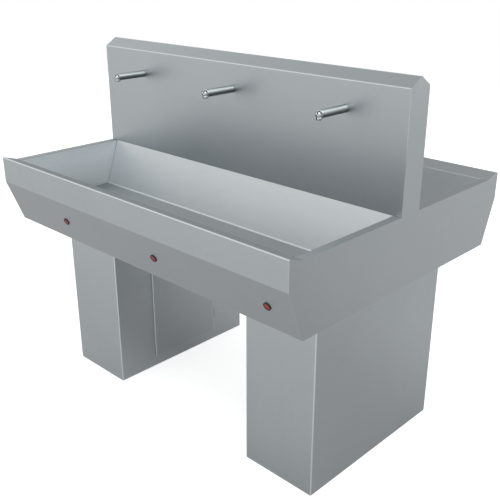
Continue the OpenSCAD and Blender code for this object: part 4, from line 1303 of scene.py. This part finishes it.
@dataclass
class Taps(Maker):
    """Six spouts with a ball end, a down-turned outlet and an aerator, drawn along +Y."""

    radius: float = 12.5
    outlet_y: float = 167.0
    waterway: float = 6.0
    outlet_radius: float = 11.0
    outlet_top: float = -5.0
    outlet_z: float = -14.0
    groove_z: float = -10.6
    groove_half: float = 0.3
    groove_depth: float = 0.8
    groove_taper: float = 0.1
    shoulder: float = 0.6
    edge: float = 0.5
    tip_edge: float = 0.4
    tip_start: float = 164.0
    tip_gap: float = 0.1
    insert_radius: float = 8.2
    insert_depth: float = 7.0
    insert_edges: Pair = (0.4, 0.7)
    insert_gap: float = 0.2
    lip: float = 1.6
    lip_gap: float = 0.1
    mouth_radius: float = 6.6
    sieve: tuple[Pair, ...] = ((6.2, 1.2), (3.0, 0.8), (0.0, 0.6))
    shank_radius: float = 9.0
    shank_end: float = 22.2
    segments: int = 64

    def spout(self) -> Shell:
        """Turns the tube with its shank, up to the ball.

        Returns:
            The spout's shell.
        """
        start, end, r = self.plan.upstand_y, self.tip_start, self.radius
        profile = [
            (self.waterway, self.shank_end),
            (self.shank_radius, self.shank_end),
            (self.shank_radius, start),
            (r - self.shoulder, start),
            (r, start + self.shoulder),
            (r, end - self.edge),
            (r - self.tip_edge, end),
            (self.waterway, end),
            (self.waterway, self.shank_end),
        ]
        return turned(profile, self.segments).move(facing((0, 1, 0)))

    def tip(self) -> Shell:
        """Turns the ball end about the tube's axis, and the grooved outlet below it.

        Returns:
            The shell of the ball and the outlet.
        """
        first, r = self.tip_start + self.tip_gap, self.radius
        rim = [(0.0, first), (r - self.tip_edge, first), (r, first + self.tip_edge)]
        ball = np.vstack([rim, arc(self.outlet_y, r, r, 14)])
        collar, low, edge = self.outlet_radius, self.outlet_z, self.edge
        groove, half, neck = self.groove_z, self.groove_half, self.outlet_radius - self.groove_depth
        outlet = [
            (0.0, self.outlet_top),
            (collar - edge, self.outlet_top),
            (collar - self.groove_taper, groove + 2 * half),
            (neck, groove + half),
            (neck, groove - half),
            (collar, groove - 2 * half),
            (collar, low + edge),
            (collar - edge, low),
            (self.insert_radius, low),
            (self.insert_radius, low + self.insert_depth),
            (0.0, low + self.insert_depth),
        ]
        nose = turned(outlet, self.segments).shift((0, self.outlet_y, 0))
        return turned(ball, self.segments).move(facing((0, 1, 0))).join(nose)

    def aerator(self) -> Shell:
        """Turns an insert whose lip shows below the outlet, with a domed sieve in its mouth.

        Returns:
            The insert's shell.
        """
        top, low = self.outlet_z, self.outlet_z - self.lip
        body = self.insert_radius - self.insert_gap
        wide = (self.insert_radius + self.outlet_radius) / 2 - self.lip_gap
        upper, lower = self.insert_edges
        profile = [
            (0.0, top + self.insert_depth - upper),
            (body, top + self.insert_depth - upper),
            (body, top),
            (wide - upper, top),
            (wide, top - upper),
            (wide, low + lower),
            (wide - lower, low),
            (self.mouth_radius, low),
            *((radius, low + height) for radius, height in self.sieve),
        ]
        return turned(profile).shift((0, self.outlet_y, 0))

    def build(self) -> None:
        """Places each spout, its tip and its aerator."""
        for side, place, label in stations():
            origin = (self.plan.tap_x[place], 0.0, self.plan.tap_z)
            self.piece(f"spout_{label}", self.spout().move(side.matrix, origin), Finishes.tube)
            tip = self.tip().move(side.matrix, origin)
            self.piece(f"spout_tip_{label}", tip, Finishes.chrome, replaces=False)
            self.piece(f"aerator_{label}", self.aerator().move(side.matrix, origin), Finishes.aerator)


@dataclass
class Sensors(Maker):
    """Six proximity sensors in the lower faces of the aprons, drawn along +Z."""

    bezel_radius: float = 13.0
    bezel: float = 3.0
    barrel_radius: float = 10.0
    barrel: float = 38.0
    thread_depth: float = 0.45
    thread_step: float = 0.75
    plain_end: float = 2.0
    end_depths: Pair = (0.8, 1.4)
    end_chamfer: float = 0.4
    lens_radius: float = 10.0
    lens_gap: float = 0.2
    lens_inset: float = 0.6
    lens_thickness: float = 1.2
    lens_crown: float = 0.35
    seat_edge: float = 0.5
    bends: tuple[float, ...] = (0.0, 0.0, 0.2, 0.2, 0.8, 0.2, 0.0)

    @property
    def seat(self) -> float:
        """Height of the lens's seat in the bezel."""
        return self.bezel - self.lens_inset - self.lens_thickness

    def frame_of(self, side: Side, place: int) -> tuple[Array, Array]:
        """Sets a sensor's axis square to the apron's lower face.

        Args:
            side: The sensor's side.
            place: Its number along the trough.

        Returns:
            Its turn and its place.
        """
        p = self.plan
        slope = math.atan2(p.half_depth - p.base_y, p.fold_z - p.base_z)
        turn = facing((0.0, math.cos(slope), -math.sin(slope)))
        return side.matrix @ turn, side.matrix @ np.array([p.sensor_x(side, place), *p.sensor_spot])

    def housing(self) -> Shell:
        """Turns the bezel with the seat of the lens and a rounded rim, and a threaded barrel behind.

        Returns:
            The housing's shell.
        """
        seat, face, rim = self.lens_radius + self.lens_gap, self.bezel, self.bezel_radius
        corners = [
            (0.0, self.seat),
            (seat, self.seat),
            (seat, face - self.seat_edge),
            (seat + self.seat_edge, face),
            (rim, face),
            (rim, 0.0),
            (self.barrel_radius, 0.0),
        ]
        bezel, _ = fold_line(corners, self.bends, steps=5, land=0.1)
        radius, low, (first, last) = self.barrel_radius, -self.barrel, self.end_depths
        ridges = thread(radius, self.thread_depth, 0.0, self.barrel - self.plain_end, self.thread_step)
        tail = [(radius - first, low + self.end_chamfer), (radius - last, low), (0.0, low)]
        return turned(np.vstack([bezel, ridges, tail]))

    def lens(self) -> Shell:
        """Turns a slightly domed window: radius R (1 - s) and height h + c sin(s times 90 degrees).

        Returns:
            The window's shell.
        """
        share, edge = np.linspace(0, 1, 7), self.seat + self.lens_thickness - self.lens_crown
        dome = [self.lens_radius * (1 - share), edge + self.lens_crown * np.sin(share * QUARTER)]
        return turned(np.vstack([[(0.0, self.seat), (self.lens_radius, self.seat)], np.stack(dome, -1)]))

    def build(self) -> None:
        """Places the housings one by one and the lenses as one piece."""
        windows = Shell()
        for side, place, label in stations():
            matrix, origin = self.frame_of(side, place)
            self.piece(f"sensor_{label}", self.housing().move(matrix, origin), Finishes.housing)
            windows.join(self.lens().move(matrix, origin))
        self.piece("sensor_lenses", windows, Finishes.lens)


@dataclass
class Pedestals(Maker):
    """Two pedestals of folded sheet with their doors, hinges and locks, drawn with the door to -X."""

    width: float = 284.0
    depth: float = 662.0
    head_flange: float = 18.0
    foot_width: float = 60.0
    foot: float = 3.0
    door_width: float = 326.0
    door_base: float = 47.0
    door_height: float = 560.0
    door_lap: float = 16.0
    proud: float = 7.0
    gap: float = 0.3
    pin: float = 2.0
    knuckle: float = 4.0
    knuckle_length: float = 16.0
    knuckle_edge: float = 0.35
    fixed_bore: float = 2.2
    door_bore: float = 2.05
    strap_lap: float = 0.2
    rivet_inset: float = 0.2
    rivet_edge: float = 0.5
    hinge_inset: float = 80.0
    leaf_width: float = 10.0
    leaf_margin: float = 2.0
    lock_radius: float = 8.0
    lock_hole: float = 8.05
    lock_land: float = 13.0
    lock_inset: float = 30.0
    lock_flange: float = 1.0
    lock_chamfer: float = 0.35
    flange_width: float = 2.0
    cam_reach: float = 26.0
    cam_width: float = 13.0
    cam: float = 2.0
    slot_width: float = 2.0
    slot_depth: float = 0.6
    slot_margin: float = 0.6

    @property
    def wall_x(self) -> float:
        """The pedestal's face that carries the door."""
        return -self.width / 2

    @property
    def door_x(self) -> float:
        """The door's outer face."""
        return self.wall_x - self.proud

    @property
    def hinge_y(self) -> float:
        """The hinge's axis beside the door."""
        return self.door_width / 2 + self.knuckle

    @property
    def hinge_x(self) -> float:
        """The hinge's axis in front of the pedestal's wall."""
        return self.wall_x - self.knuckle

    @property
    def levels(self) -> Pair:
        """Heights of the two hinges."""
        return self.door_base + self.hinge_inset, self.door_base + self.door_height - self.hinge_inset

    @property
    def lock_y(self) -> float:
        """The lock's place across the door."""
        return self.lock_inset - self.door_width / 2

    @property
    def lock_z(self) -> float:
        """The lock's height."""
        return self.door_base + self.door_height / 2

    def body(self) -> Shell:
        """Wraps the wall with its opening, and adds foot plates, head flanges and hinge leaves.

        Returns:
            The pedestal's shell.
        """
        p, w, d, top = self.plan, self.width / 2, self.depth / 2, self.plan.base_z
        corners = [(w, 0), (w, -d), (-w, -d), (-w, d), (w, d), (w, 0)]
        # The pedestal's folds get a painted highlight.
        line, wear = fold_line(corners, [0, p.bend, p.bend, p.bend, p.bend, 0])
        wall = Sheet(line, wear, (0.0, top), p.sheet, closed=True)
        half_z, half_y = self.door_height / 2 - self.door_lap, self.door_width / 2 - self.door_lap
        wall.cuts.append(Cut(self.lock_z, wall.where((-w, 0)), half_z, half_y))
        made = wall.shell().move(UPRIGHT)
        x, y = w - p.sheet, d - p.sheet
        for sign in (-1, 1):
            made.block((-x, sign * (d - self.foot_width), 0.0), (x, sign * y, self.foot))
            made.block((-x, sign * p.rail_y, top - p.sheet), (x, sign * y, top))
            made.block((sign * x, -p.rail_y, top - p.sheet), (sign * (w - self.head_flange), p.rail_y, top))
        for z in self.levels:
            made.join(self.fixed_leaf(z))
        return made

    def fixed_leaf(self, z: float) -> Shell:
        """Makes the leaf welded to the pedestal, with a strap to the knuckle at each end.

        Args:
            z: Height of the hinge's middle.

        Returns:
            The leaf's shell.
        """
        made, tall, long = Shell(), 1.5 * self.knuckle_length, self.knuckle_length
        leaf_y = self.hinge_y + self.knuckle + self.gap
        leaf_end = (self.wall_x, leaf_y + self.leaf_width, z + tall)
        made.block((self.wall_x - self.plan.sheet, leaf_y, z - tall), leaf_end)
        strap_x, strap_y = self.hinge_x + self.fixed_bore, self.hinge_y + self.leaf_margin - self.knuckle
        for low in (z - tall, z + long / 2):
            made.join(self.barrel(low, long, self.fixed_bore))
            made.block((strap_x, strap_y, low), (self.wall_x, leaf_y, low + long))
        return made

    def barrel(self, base: float, length: float, bore: float) -> Shell:
        """Turns a knuckle of a hinge, with its edges broken.

        Args:
            base: Height of its lower end.
            length: Its length.
            bore: Radius of its bore.

        Returns:
            The knuckle's shell.
        """
        r, e = self.knuckle, self.knuckle_edge
        profile = [(bore, 0), (r - e, 0), (r, e), (r, length - e), (r - e, length), (bore, length), (bore, 0)]
        return turned(profile, 32).shift((self.hinge_x, self.hinge_y, base))

    def pins(self) -> Shell:
        """Turns two hinge pins with riveted heads.

        Returns:
            The shell of both pins.
        """
        made, head, half = Shell(), self.knuckle - self.rivet_inset, 1.5 * self.knuckle_length
        rivet = arc(half + self.rivet_edge, head, self.pin - self.rivet_edge, 5)
        top = np.vstack([[(self.pin, 0.0), (self.pin, half), (head, half)], rivet])
        profile = np.vstack([top[::-1] * (1, -1), top])
        for z in self.levels:
            made.join(turned(profile, 32).shift((self.hinge_x, self.hinge_y, z)))
        return made

    def door(self) -> Shell:
        """Folds a tray with a hole for its lock, and adds the moving knuckles of its hinges.

        Returns:
            The door's shell.
        """
        p, t, w = self.plan, self.plan.sheet, self.door_width / 2
        outer, inner = self.door_x, self.door_x + self.proud - self.gap
        # The door's folds get a painted highlight.
        line, wear = fold_line([(inner, -w), (outer, -w), (outer, w), (inner, w)], [0, p.bend, p.bend, 0])
        z0, z1, land = self.door_base, self.door_base + self.door_height, self.lock_land
        face = Sheet(line, wear, (z0, z1), t)
        face.cuts.append(Hole(self.lock_z, face.where((outer, self.lock_y)), land, land, self.lock_hole))
        made = face.shell().move(UPRIGHT)
        for low, high in ((z0, z0 + t), (z1 - t, z1)):
            made.block((outer + t, t - w, low), (inner, w - t, high))
        tall = self.knuckle_length - 2 * self.gap
        strap_x, strap_y = self.hinge_x - self.fixed_bore, self.hinge_y - self.fixed_bore
        for z in self.levels:
            low, high = z - tall / 2, z + tall / 2
            made.join(self.barrel(low, tall, self.door_bore))
            made.block((strap_x, strap_y, low), (outer + p.bend, w - self.strap_lap, high))
        return made

    def lock(self) -> Shell:
        """Makes a quarter-turn lock: flange with a key slot, barrel and cam; about +X, unlocked.

        Rings of points lead from the slot's border over the flange and down the barrel.

        Returns:
            The lock's shell.
        """
        outer, wide, edge = self.door_x, self.lock_radius + self.flange_width, self.lock_chamfer
        cam_x = self.wall_x + self.plan.sheet + self.gap
        half_y, half_z = self.slot_width / 2, self.lock_radius - self.slot_margin
        columns, rows = np.linspace(-half_y, half_y, 5), np.linspace(-half_z, half_z, 25)
        slot = border(columns, rows)
        turn = np.unwrap(np.arctan2(slot[:, 1], slot[:, 0]))
        ring, tail = np.stack([np.cos(turn), np.sin(turn)], -1), outer - cam_x - self.cam - self.lock_flange
        flats = [
            (slot, -self.slot_depth),
            (slot, 0.0),
            (ring * (wide - edge), 0.0),
            (ring * wide, -edge),
            (ring * wide, -self.lock_flange),
            (ring * self.lock_radius, -self.lock_flange),
            (ring * self.lock_radius, tail),
            (ring * 0.0, tail),
        ]
        made = Shell()
        made.grid(np.stack([np.insert(flat, 2, z, axis=1) for flat, z in flats]))
        made.grid(level_grid(columns, rows, -self.slot_depth).swapaxes(0, 1))
        out = np.array([[0, 0, -1.0], [1.0, 0, 0], [0, 1.0, 0]])
        made.move(out, (outer - self.lock_flange, 0, 0))
        made.block((cam_x, -self.cam_width / 2, 0.0), (cam_x + self.cam, self.cam_width / 2, self.cam_reach))
        return made.shift((0, self.lock_y, self.lock_z))

    def build(self) -> None:
        """Places both pedestals, doors, locks and all hinge pins."""
        pins = Shell()
        for end in End:
            origin = (end.value * self.plan.pedestal_x, 0.0, 0.0)
            door, lock = f"door_{end.word}", f"lock_{end.word}"
            self.piece(f"pedestal_{end.word}", self.body().move(end.matrix, origin), Finishes.pedestal)
            self.piece(door, self.door().move(end.matrix, origin), Finishes.door, door)
            self.piece(lock, self.lock().move(end.matrix, origin), Finishes.lock, lock)
            pins.join(self.pins().move(end.matrix, origin))
        self.piece("hinge_pins", pins, Finishes.fastener)


@dataclass
class Wastes(Maker):
    """Both wastes with their lift-out strainers, drawn about Z with the flange's top at 0.

    Each of the strainer's rings is its share of the flange's radius and its number of holes.
    """

    flange_z: float = 699.0
    flange_radius: float = 43.0
    flange: float = 3.0
    tail_radius: float = 24.0
    tail_wall: float = 3.0
    tail: float = 98.0
    tail_edge: float = 0.8
    thread_depth: float = 0.7
    thread_step: float = 1.0
    thread_gap: float = 0.2
    thread_end: float = 46.0
    bends: tuple[float, ...] = (0.0, 1.2, 1.2, 0.6, 0.0)
    plate: float = 2.0
    plate_bends: tuple[float, ...] = (0.0, 0.5, 0.8, 0.0)
    rings: tuple[tuple[float, int], ...] = ((0.28, 6), (0.54, 12), (0.8, 16))
    divisions: int = 96
    hole: float = 3.0
    boss: float = 7.5
    margin: float = 2.6
    knob: float = 5.0
    knob_base: float = 3.4
    knob_z: float = 3.6
    knob_rise: float = 2.4
    neck: tuple[Pair, ...] = ((3.2, 2.3), (2.9, 3.0))
    guide: float = 10.0
    guide_wall: float = 2.0
    guide_gap: float = 0.3

    @property
    def bore(self) -> float:
        """Inner radius of the waste's tail."""
        return self.tail_radius - self.tail_wall

    def waste(self) -> Shell:
        """Turns a flange with a rounded rim over a threaded tail.

        Returns:
            The waste's shell.
        """
        r, f, t, low = self.flange_radius, self.flange, self.tail_radius, -self.tail
        corners = [(self.bore, low), (self.bore, 0), (r, 0), (r, -f), (t, -f)]
        upper, _ = fold_line(corners, self.bends, steps=5, land=0.3)
        start = f + self.thread_gap
        ridges = thread(t, self.thread_depth, start, self.thread_end, self.thread_step)
        end = [(t, low + self.tail_edge), (t - self.tail_edge, low), (self.bore, low)]
        return turned(np.vstack([upper, ridges, end]), 64)

    def strainer(self) -> Shell:
        """Makes a plate with rings of holes, a turned knob and a guide ring below.

        Returns:
            The strainer's shell.
        """
        made, top = Shell(), self.plate
        outer = self.flange_radius - self.plate
        radii = np.array([share * self.flange_radius for share, _ in self.rings])
        bands = np.r_[self.boss, (radii[:-1] + radii[1:]) / 2, outer - self.margin]
        for radius, (_, count), low, high in zip(radii, self.rings, bands[:-1], bands[1:]):
            self.ring_of_holes(made, radius, count, low, high)
        corners = [(bands[-1], 0), (outer, 0), (outer, top), (bands[-1], top)]
        rim, _ = fold_line(corners, self.plate_bends, steps=4, land=0.15)
        made.join(turned(rim, self.divisions))
        foot = [(0, 0), (self.boss, 0), (self.boss, top), *self.neck, (self.knob, self.knob_base)]
        made.join(turned(np.vstack([foot, arc(self.knob_z, self.knob, self.knob_rise, 6)])))
        wide, deep = self.bore - self.guide_gap, -self.guide
        thin = wide - self.guide_wall
        made.join(turned([(thin, 0), (thin, deep), (wide, deep), (wide, 0), (thin, 0)], 64))
        return made

    def ring_of_holes(self, made: Shell, radius: float, count: int, low: float, high: float) -> None:
        """Adds one band of the plate with evenly spaced round holes.

        Each hole sits in a cell of the band in polar lines: a point e on the cell's border and the
        circle's point in the same direction bound a ring of faces.

        Args:
            made: Shell that takes the band.
            radius: Distance of the holes from the axis.
            count: Number of holes.
            low: Inner radius of the band.
            high: Outer radius of the band.
        """
        pitch = 2 * math.pi / count
        turns = np.linspace(-pitch / 2, pitch / 2, self.divisions // count + 1)
        edge = border(turns, np.array([low, radius, high]))
        spots = np.stack([edge[:, 1] * np.cos(edge[:, 0]), edge[:, 1] * np.sin(edge[:, 0])], -1)
        centre = np.array([radius, 0.0])
        way = (spots - centre) / np.linalg.norm(spots - centre, axis=1, keepdims=True)
        ring = centre + self.hole * way
        for number in range(count):
            c, s = math.cos(number * pitch), math.sin(number * pitch)
            spin = np.array([[c, s], [-s, c]])
            lay = np.stack([spots @ spin, ring @ spin])
            upper, lower = (np.insert(lay, 2, z, axis=2) for z in (self.plate, 0.0))
            made.grid(upper)
            made.grid(lower)
            made.grid(np.stack([upper[1], lower[1]]))

    def build(self) -> None:
        """Places a waste and a strainer in each basin."""
        for side in Side:
            origin = (-self.plan.pedestal_x, side.value * self.plan.waste_y, self.flange_z)
            strainer = f"strainer_{side.word}"
            self.piece(f"waste_{side.word}", self.waste().move(side.matrix, origin), Finishes.waste)
            self.piece(strainer, self.strainer().move(side.matrix, origin), Finishes.waste, strainer)


@dataclass
class Dressing:
    """Finishes for the CAD nodes whose own shapes stay."""

    nodes: dict[str, bpy.types.Object]

    def table(self) -> list[tuple[Finish, str]]:
        """The nodes that keep their solids, under each finish.

        Returns:
            Each finish and the names of its nodes.
        """
        return [
            (Finishes.casing, "underside_panel"),
            (Finishes.frame, "upstand_posts frame_rails bearers valve_bracket"),
            (Finishes.fastener, "frame_bolts waste_locknuts"),
            (Finishes.rubber, "spout_seals waste_seals"),
            (Finishes.brass, "spout_backnuts mixing_valve isolation_valves"),
            (Finishes.housing, "sensor_nuts"),
            (Finishes.pipe, "supply_manifold riser_pipes"),
            (Finishes.solenoid, "solenoid_valves"),
            (Finishes.knob, "mixing_handle"),
            (Finishes.hot, "lever_hot"),
            (Finishes.cold, "lever_cold"),
            (Finishes.box, "control_box"),
            (Finishes.drain, "drain_pipe drain_trap"),
        ]

    def build(self) -> None:
        """Puts each finish on its nodes' material slots."""
        for finish, names in self.table():
            for name in names.split():
                slots = self.nodes[name].data.materials
                slots.clear()
                slots.append(finish.material())
                LOG.info("%s: CAD solid in %s", name, finish.name)


# Studio, in metres


@dataclass
class Floor:
    """Pale floor that keeps the shadow, whose glow depends on who looks.

    What the camera sees of it is lifted to white outside the pedestals. What the steel mirrors of
    it is shaded by place: away is the distance from the trough's middle line, less a share of it
    beyond the right end.
    """

    size: float = 14.0
    below: float = 0.0005
    level: float = 0.8
    lift: float = 0.66
    mirrored: float = 0.3
    mirrored_lift: float = 0.34
    side_drop: float = 0.16
    far_lift: float = 0.35
    horizon_drop: float = -0.1
    end_share: float = 0.25
    end_drop: float = -0.16
    pedestals_x: Pair = (0.3445, 0.6265)
    pedestals_y: float = 0.3305
    edge: float = 0.001
    end_width: Pair = (0.0, 2.5)
    near_side: Pair = (0.0, 0.42)
    far_side: Pair = (1.0, 2.5)
    horizon: Pair = (3.0, 6.0)
    beyond_end: Pair = (0.8, 1.6)
    past_end: Pair = (1.4, 3.0)

    def mesh(self) -> bpy.types.Mesh:
        """Makes one square.

        Returns:
            Its mesh.
        """
        data = bpy.data.meshes.new("floor")
        corners = np.array([(-1, -1, 0), (1, -1, 0), (1, 1, 0), (-1, 1, 0)], float) * (self.size / 2)
        data.from_pydata(corners.tolist(), [], [(0, 1, 2, 3)])
        return data

    def seen(self, nodes: Nodes, away: Socket, aside: Socket) -> Socket:
        """Lifts the floor to white but for what the pedestals cover.

        Args:
            nodes: The tree.
            away: Distance from the trough's middle line.
            aside: Distance from its middle along the trough.

        Returns:
            The lift that the camera sees.
        """
        long = nodes.spread(away, 1.0, 0.0, self.pedestals_y, self.pedestals_y + self.edge)
        first, last = self.pedestals_x
        wide = nodes.both(
            "MULTIPLY",
            nodes.spread(aside, 0.0, 1.0, first, first + self.edge),
            nodes.spread(aside, 1.0, 0.0, last, last + self.edge),
        )
        return nodes.spread(nodes.both("MULTIPLY", long, wide), self.lift, 0.0, 0.0, 1.0)

    def mirror(self, nodes: Nodes, along: Socket, away: Socket) -> Socket:
        """Adds up how bright the steel mirrors the floor at each place.

        Args:
            nodes: The tree.
            along: Place along the trough.
            away: Distance from the trough's middle line.

        Returns:
            The lift in reflections.
        """
        away = nodes.both("SUBTRACT", away, nodes.spread(along, 0.0, 1.0, *self.end_width))
        near = nodes.spread(away, self.mirrored_lift - self.side_drop, self.mirrored_lift, *self.near_side)
        beyond = nodes.spread(along, 1.0, self.end_share, *self.beyond_end)
        far = nodes.both("MULTIPLY", nodes.spread(away, 0.0, self.far_lift, *self.far_side), beyond)
        fall = nodes.spread(away, 0.0, self.horizon_drop, *self.horizon)
        past_end = nodes.spread(along, 0.0, self.end_drop, *self.past_end)
        return nodes.both("ADD", nodes.both("ADD", near, far), nodes.both("ADD", fall, past_end))

    def paint(self) -> bpy.types.Material:
        """Makes the floor's paint: a clouded grey plus the glow.

        Returns:
            Its material.
        """
        paint = bpy.data.materials.new("floor_paint")
        paint.use_nodes = True
        nodes = Nodes(paint.node_tree)
        path = nodes.add("ShaderNodeLightPath")
        glossy = path.outputs["Is Glossy Ray"]
        low, high, dim = (rgba((v, v, v)) for v in (self.level * 0.98, self.level, self.mirrored))
        cloud = nodes.spread(nodes.noise(900.0, 2.0), 0, 1)
        colour = nodes.blend(glossy, nodes.blend(cloud, low, high), dim)
        plain = nodes.add("ShaderNodeBsdfDiffuse", {"Color": colour})
        where = nodes.add("ShaderNodeSeparateXYZ", {0: nodes.place()})
        away, aside = nodes.size(where.outputs["Y"]), nodes.size(where.outputs["X"])
        seen = nodes.both("MULTIPLY", path.outputs["Is Camera Ray"], self.seen(nodes, away, aside))
        mirrored = nodes.both("MULTIPLY", glossy, self.mirror(nodes, where.outputs["X"], away))
        glow = {"Color": WHITE, "Strength": nodes.both("ADD", seen, mirrored)}
        both = {0: plain.outputs[0], 1: nodes.add("ShaderNodeEmission", glow).outputs[0]}
        nodes.add("ShaderNodeOutputMaterial", {"Surface": nodes.add("ShaderNodeAddShader", both).outputs[0]})
        return paint

    def build(self) -> None:
        """Lays the floor just below the feet and keeps it out of the object."""
        data = self.mesh()
        made = bpy.data.objects.new("floor", data)
        made.location = (0.0, 0.0, -self.below)
        put(made)
        data.materials.append(self.paint())


@dataclass
class Surround:
    """White where it is seen, shaded by height and direction in reflections, and level as light."""

    level: float = 0.85
    overhead: float = 0.5
    white_to: float = 0.55
    behind: float = 0.3
    far_corner: Point = (-0.62, 0.78, 0.0)
    corner_start: float = 0.74

    def build(self) -> None:
        """Makes the world: level + mirrored * (sky - level), and at least 1 for the camera."""
        world = bpy.data.worlds.new("surround")
        bpy.context.scene.world = world
        world.use_nodes = True
        nodes = Nodes(world.node_tree)
        path = nodes.add("ShaderNodeLightPath")
        where = nodes.add("ShaderNodeTexCoord").outputs["Generated"]
        height, corner = nodes.part(where, "Z"), nodes.along(where, self.far_corner)
        overhead = nodes.spread(height, 1.0, self.overhead, self.white_to, 1.0)
        sky = nodes.both("MULTIPLY", overhead, nodes.spread(corner, 1.0, self.behind, self.corner_start, 1.0))
        mirrored = nodes.both("MAXIMUM", path.outputs["Is Glossy Ray"], path.outputs["Is Transmission Ray"])
        dim = nodes.both("MULTIPLY", mirrored, nodes.both("SUBTRACT", sky, self.level))
        shown = nodes.both("MAXIMUM", nodes.both("ADD", self.level, dim), path.outputs["Is Camera Ray"])
        light = nodes.add("ShaderNodeBackground", {"Color": WHITE, "Strength": shown})
        nodes.add("ShaderNodeOutputWorld", {"Surface": light.outputs[0]})


@dataclass
class Studio:
    """Camera at the photograph's angle, soft lamps, white surround and a pale floor."""

    location: Point = (1.8030, -1.8181, 1.6027)
    rotation: Point = (67.93, 0.0, 44.10)
    lens: float = 53.58
    sensor: float = 36.0
    reach: float = 60.0
    aim: Point = (0.0, 0.0, 0.6)

    def camera(self) -> None:
        """Makes the camera that the photograph's lines give."""
        data = bpy.data.cameras.new("camera")
        data.lens, data.sensor_width, data.clip_end = self.lens, self.sensor, self.reach
        made = bpy.data.objects.new("camera", data)
        made.location = self.location
        made.rotation_euler = [math.radians(a) for a in self.rotation]
        put(made)
        bpy.context.scene.camera = made

    def lamp(self, name: str, place: Point, size: float, power: float) -> None:
        """Adds a square soft lamp that looks at the middle of the trough.

        Args:
            name: Name of the lamp.
            place: Where it stands.
            size: Length of its sides.
            power: Its power in watts.
        """
        data = bpy.data.lights.new(name, "AREA")
        data.size, data.energy = size, power
        made = bpy.data.objects.new(name, data)
        made.location = place
        x, y, z = np.array(self.aim) - np.array(place)
        made.rotation_euler = (math.atan2(math.hypot(x, y), -z), 0.0, math.atan2(-x, y))
        put(made)

    def build(self) -> None:
        """Sets up the whole studio."""
        bpy.context.scene.view_settings.view_transform = "Standard"
        self.camera()
        Surround().build()
        Floor().build()
        self.lamp("key_lamp", (-2.4, -3.2, 2.6), 2.4, 5.0)
        self.lamp("top_lamp", (2.0, -1.6, 3.6), 1.2, 22.0)
        self.lamp("back_lamp", (0.6, 3.4, 3.0), 2.6, 11.0)


def main() -> None:
    """Loads the frame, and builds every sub-assembly and the studio."""
    logging.basicConfig(level=logging.INFO, format="%(name)s %(message)s")
    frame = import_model()
    Studio().build()
    plan = Plan()
    for part in (Trough(plan), Upstand(plan), Taps(plan), Sensors(plan), Pedestals(plan), Wastes(plan)):
        LOG.info("building %s", type(part).__name__)
        part.build()
    Dressing(frame["nodes"]).build()


if __name__ == "__main__":
    main()
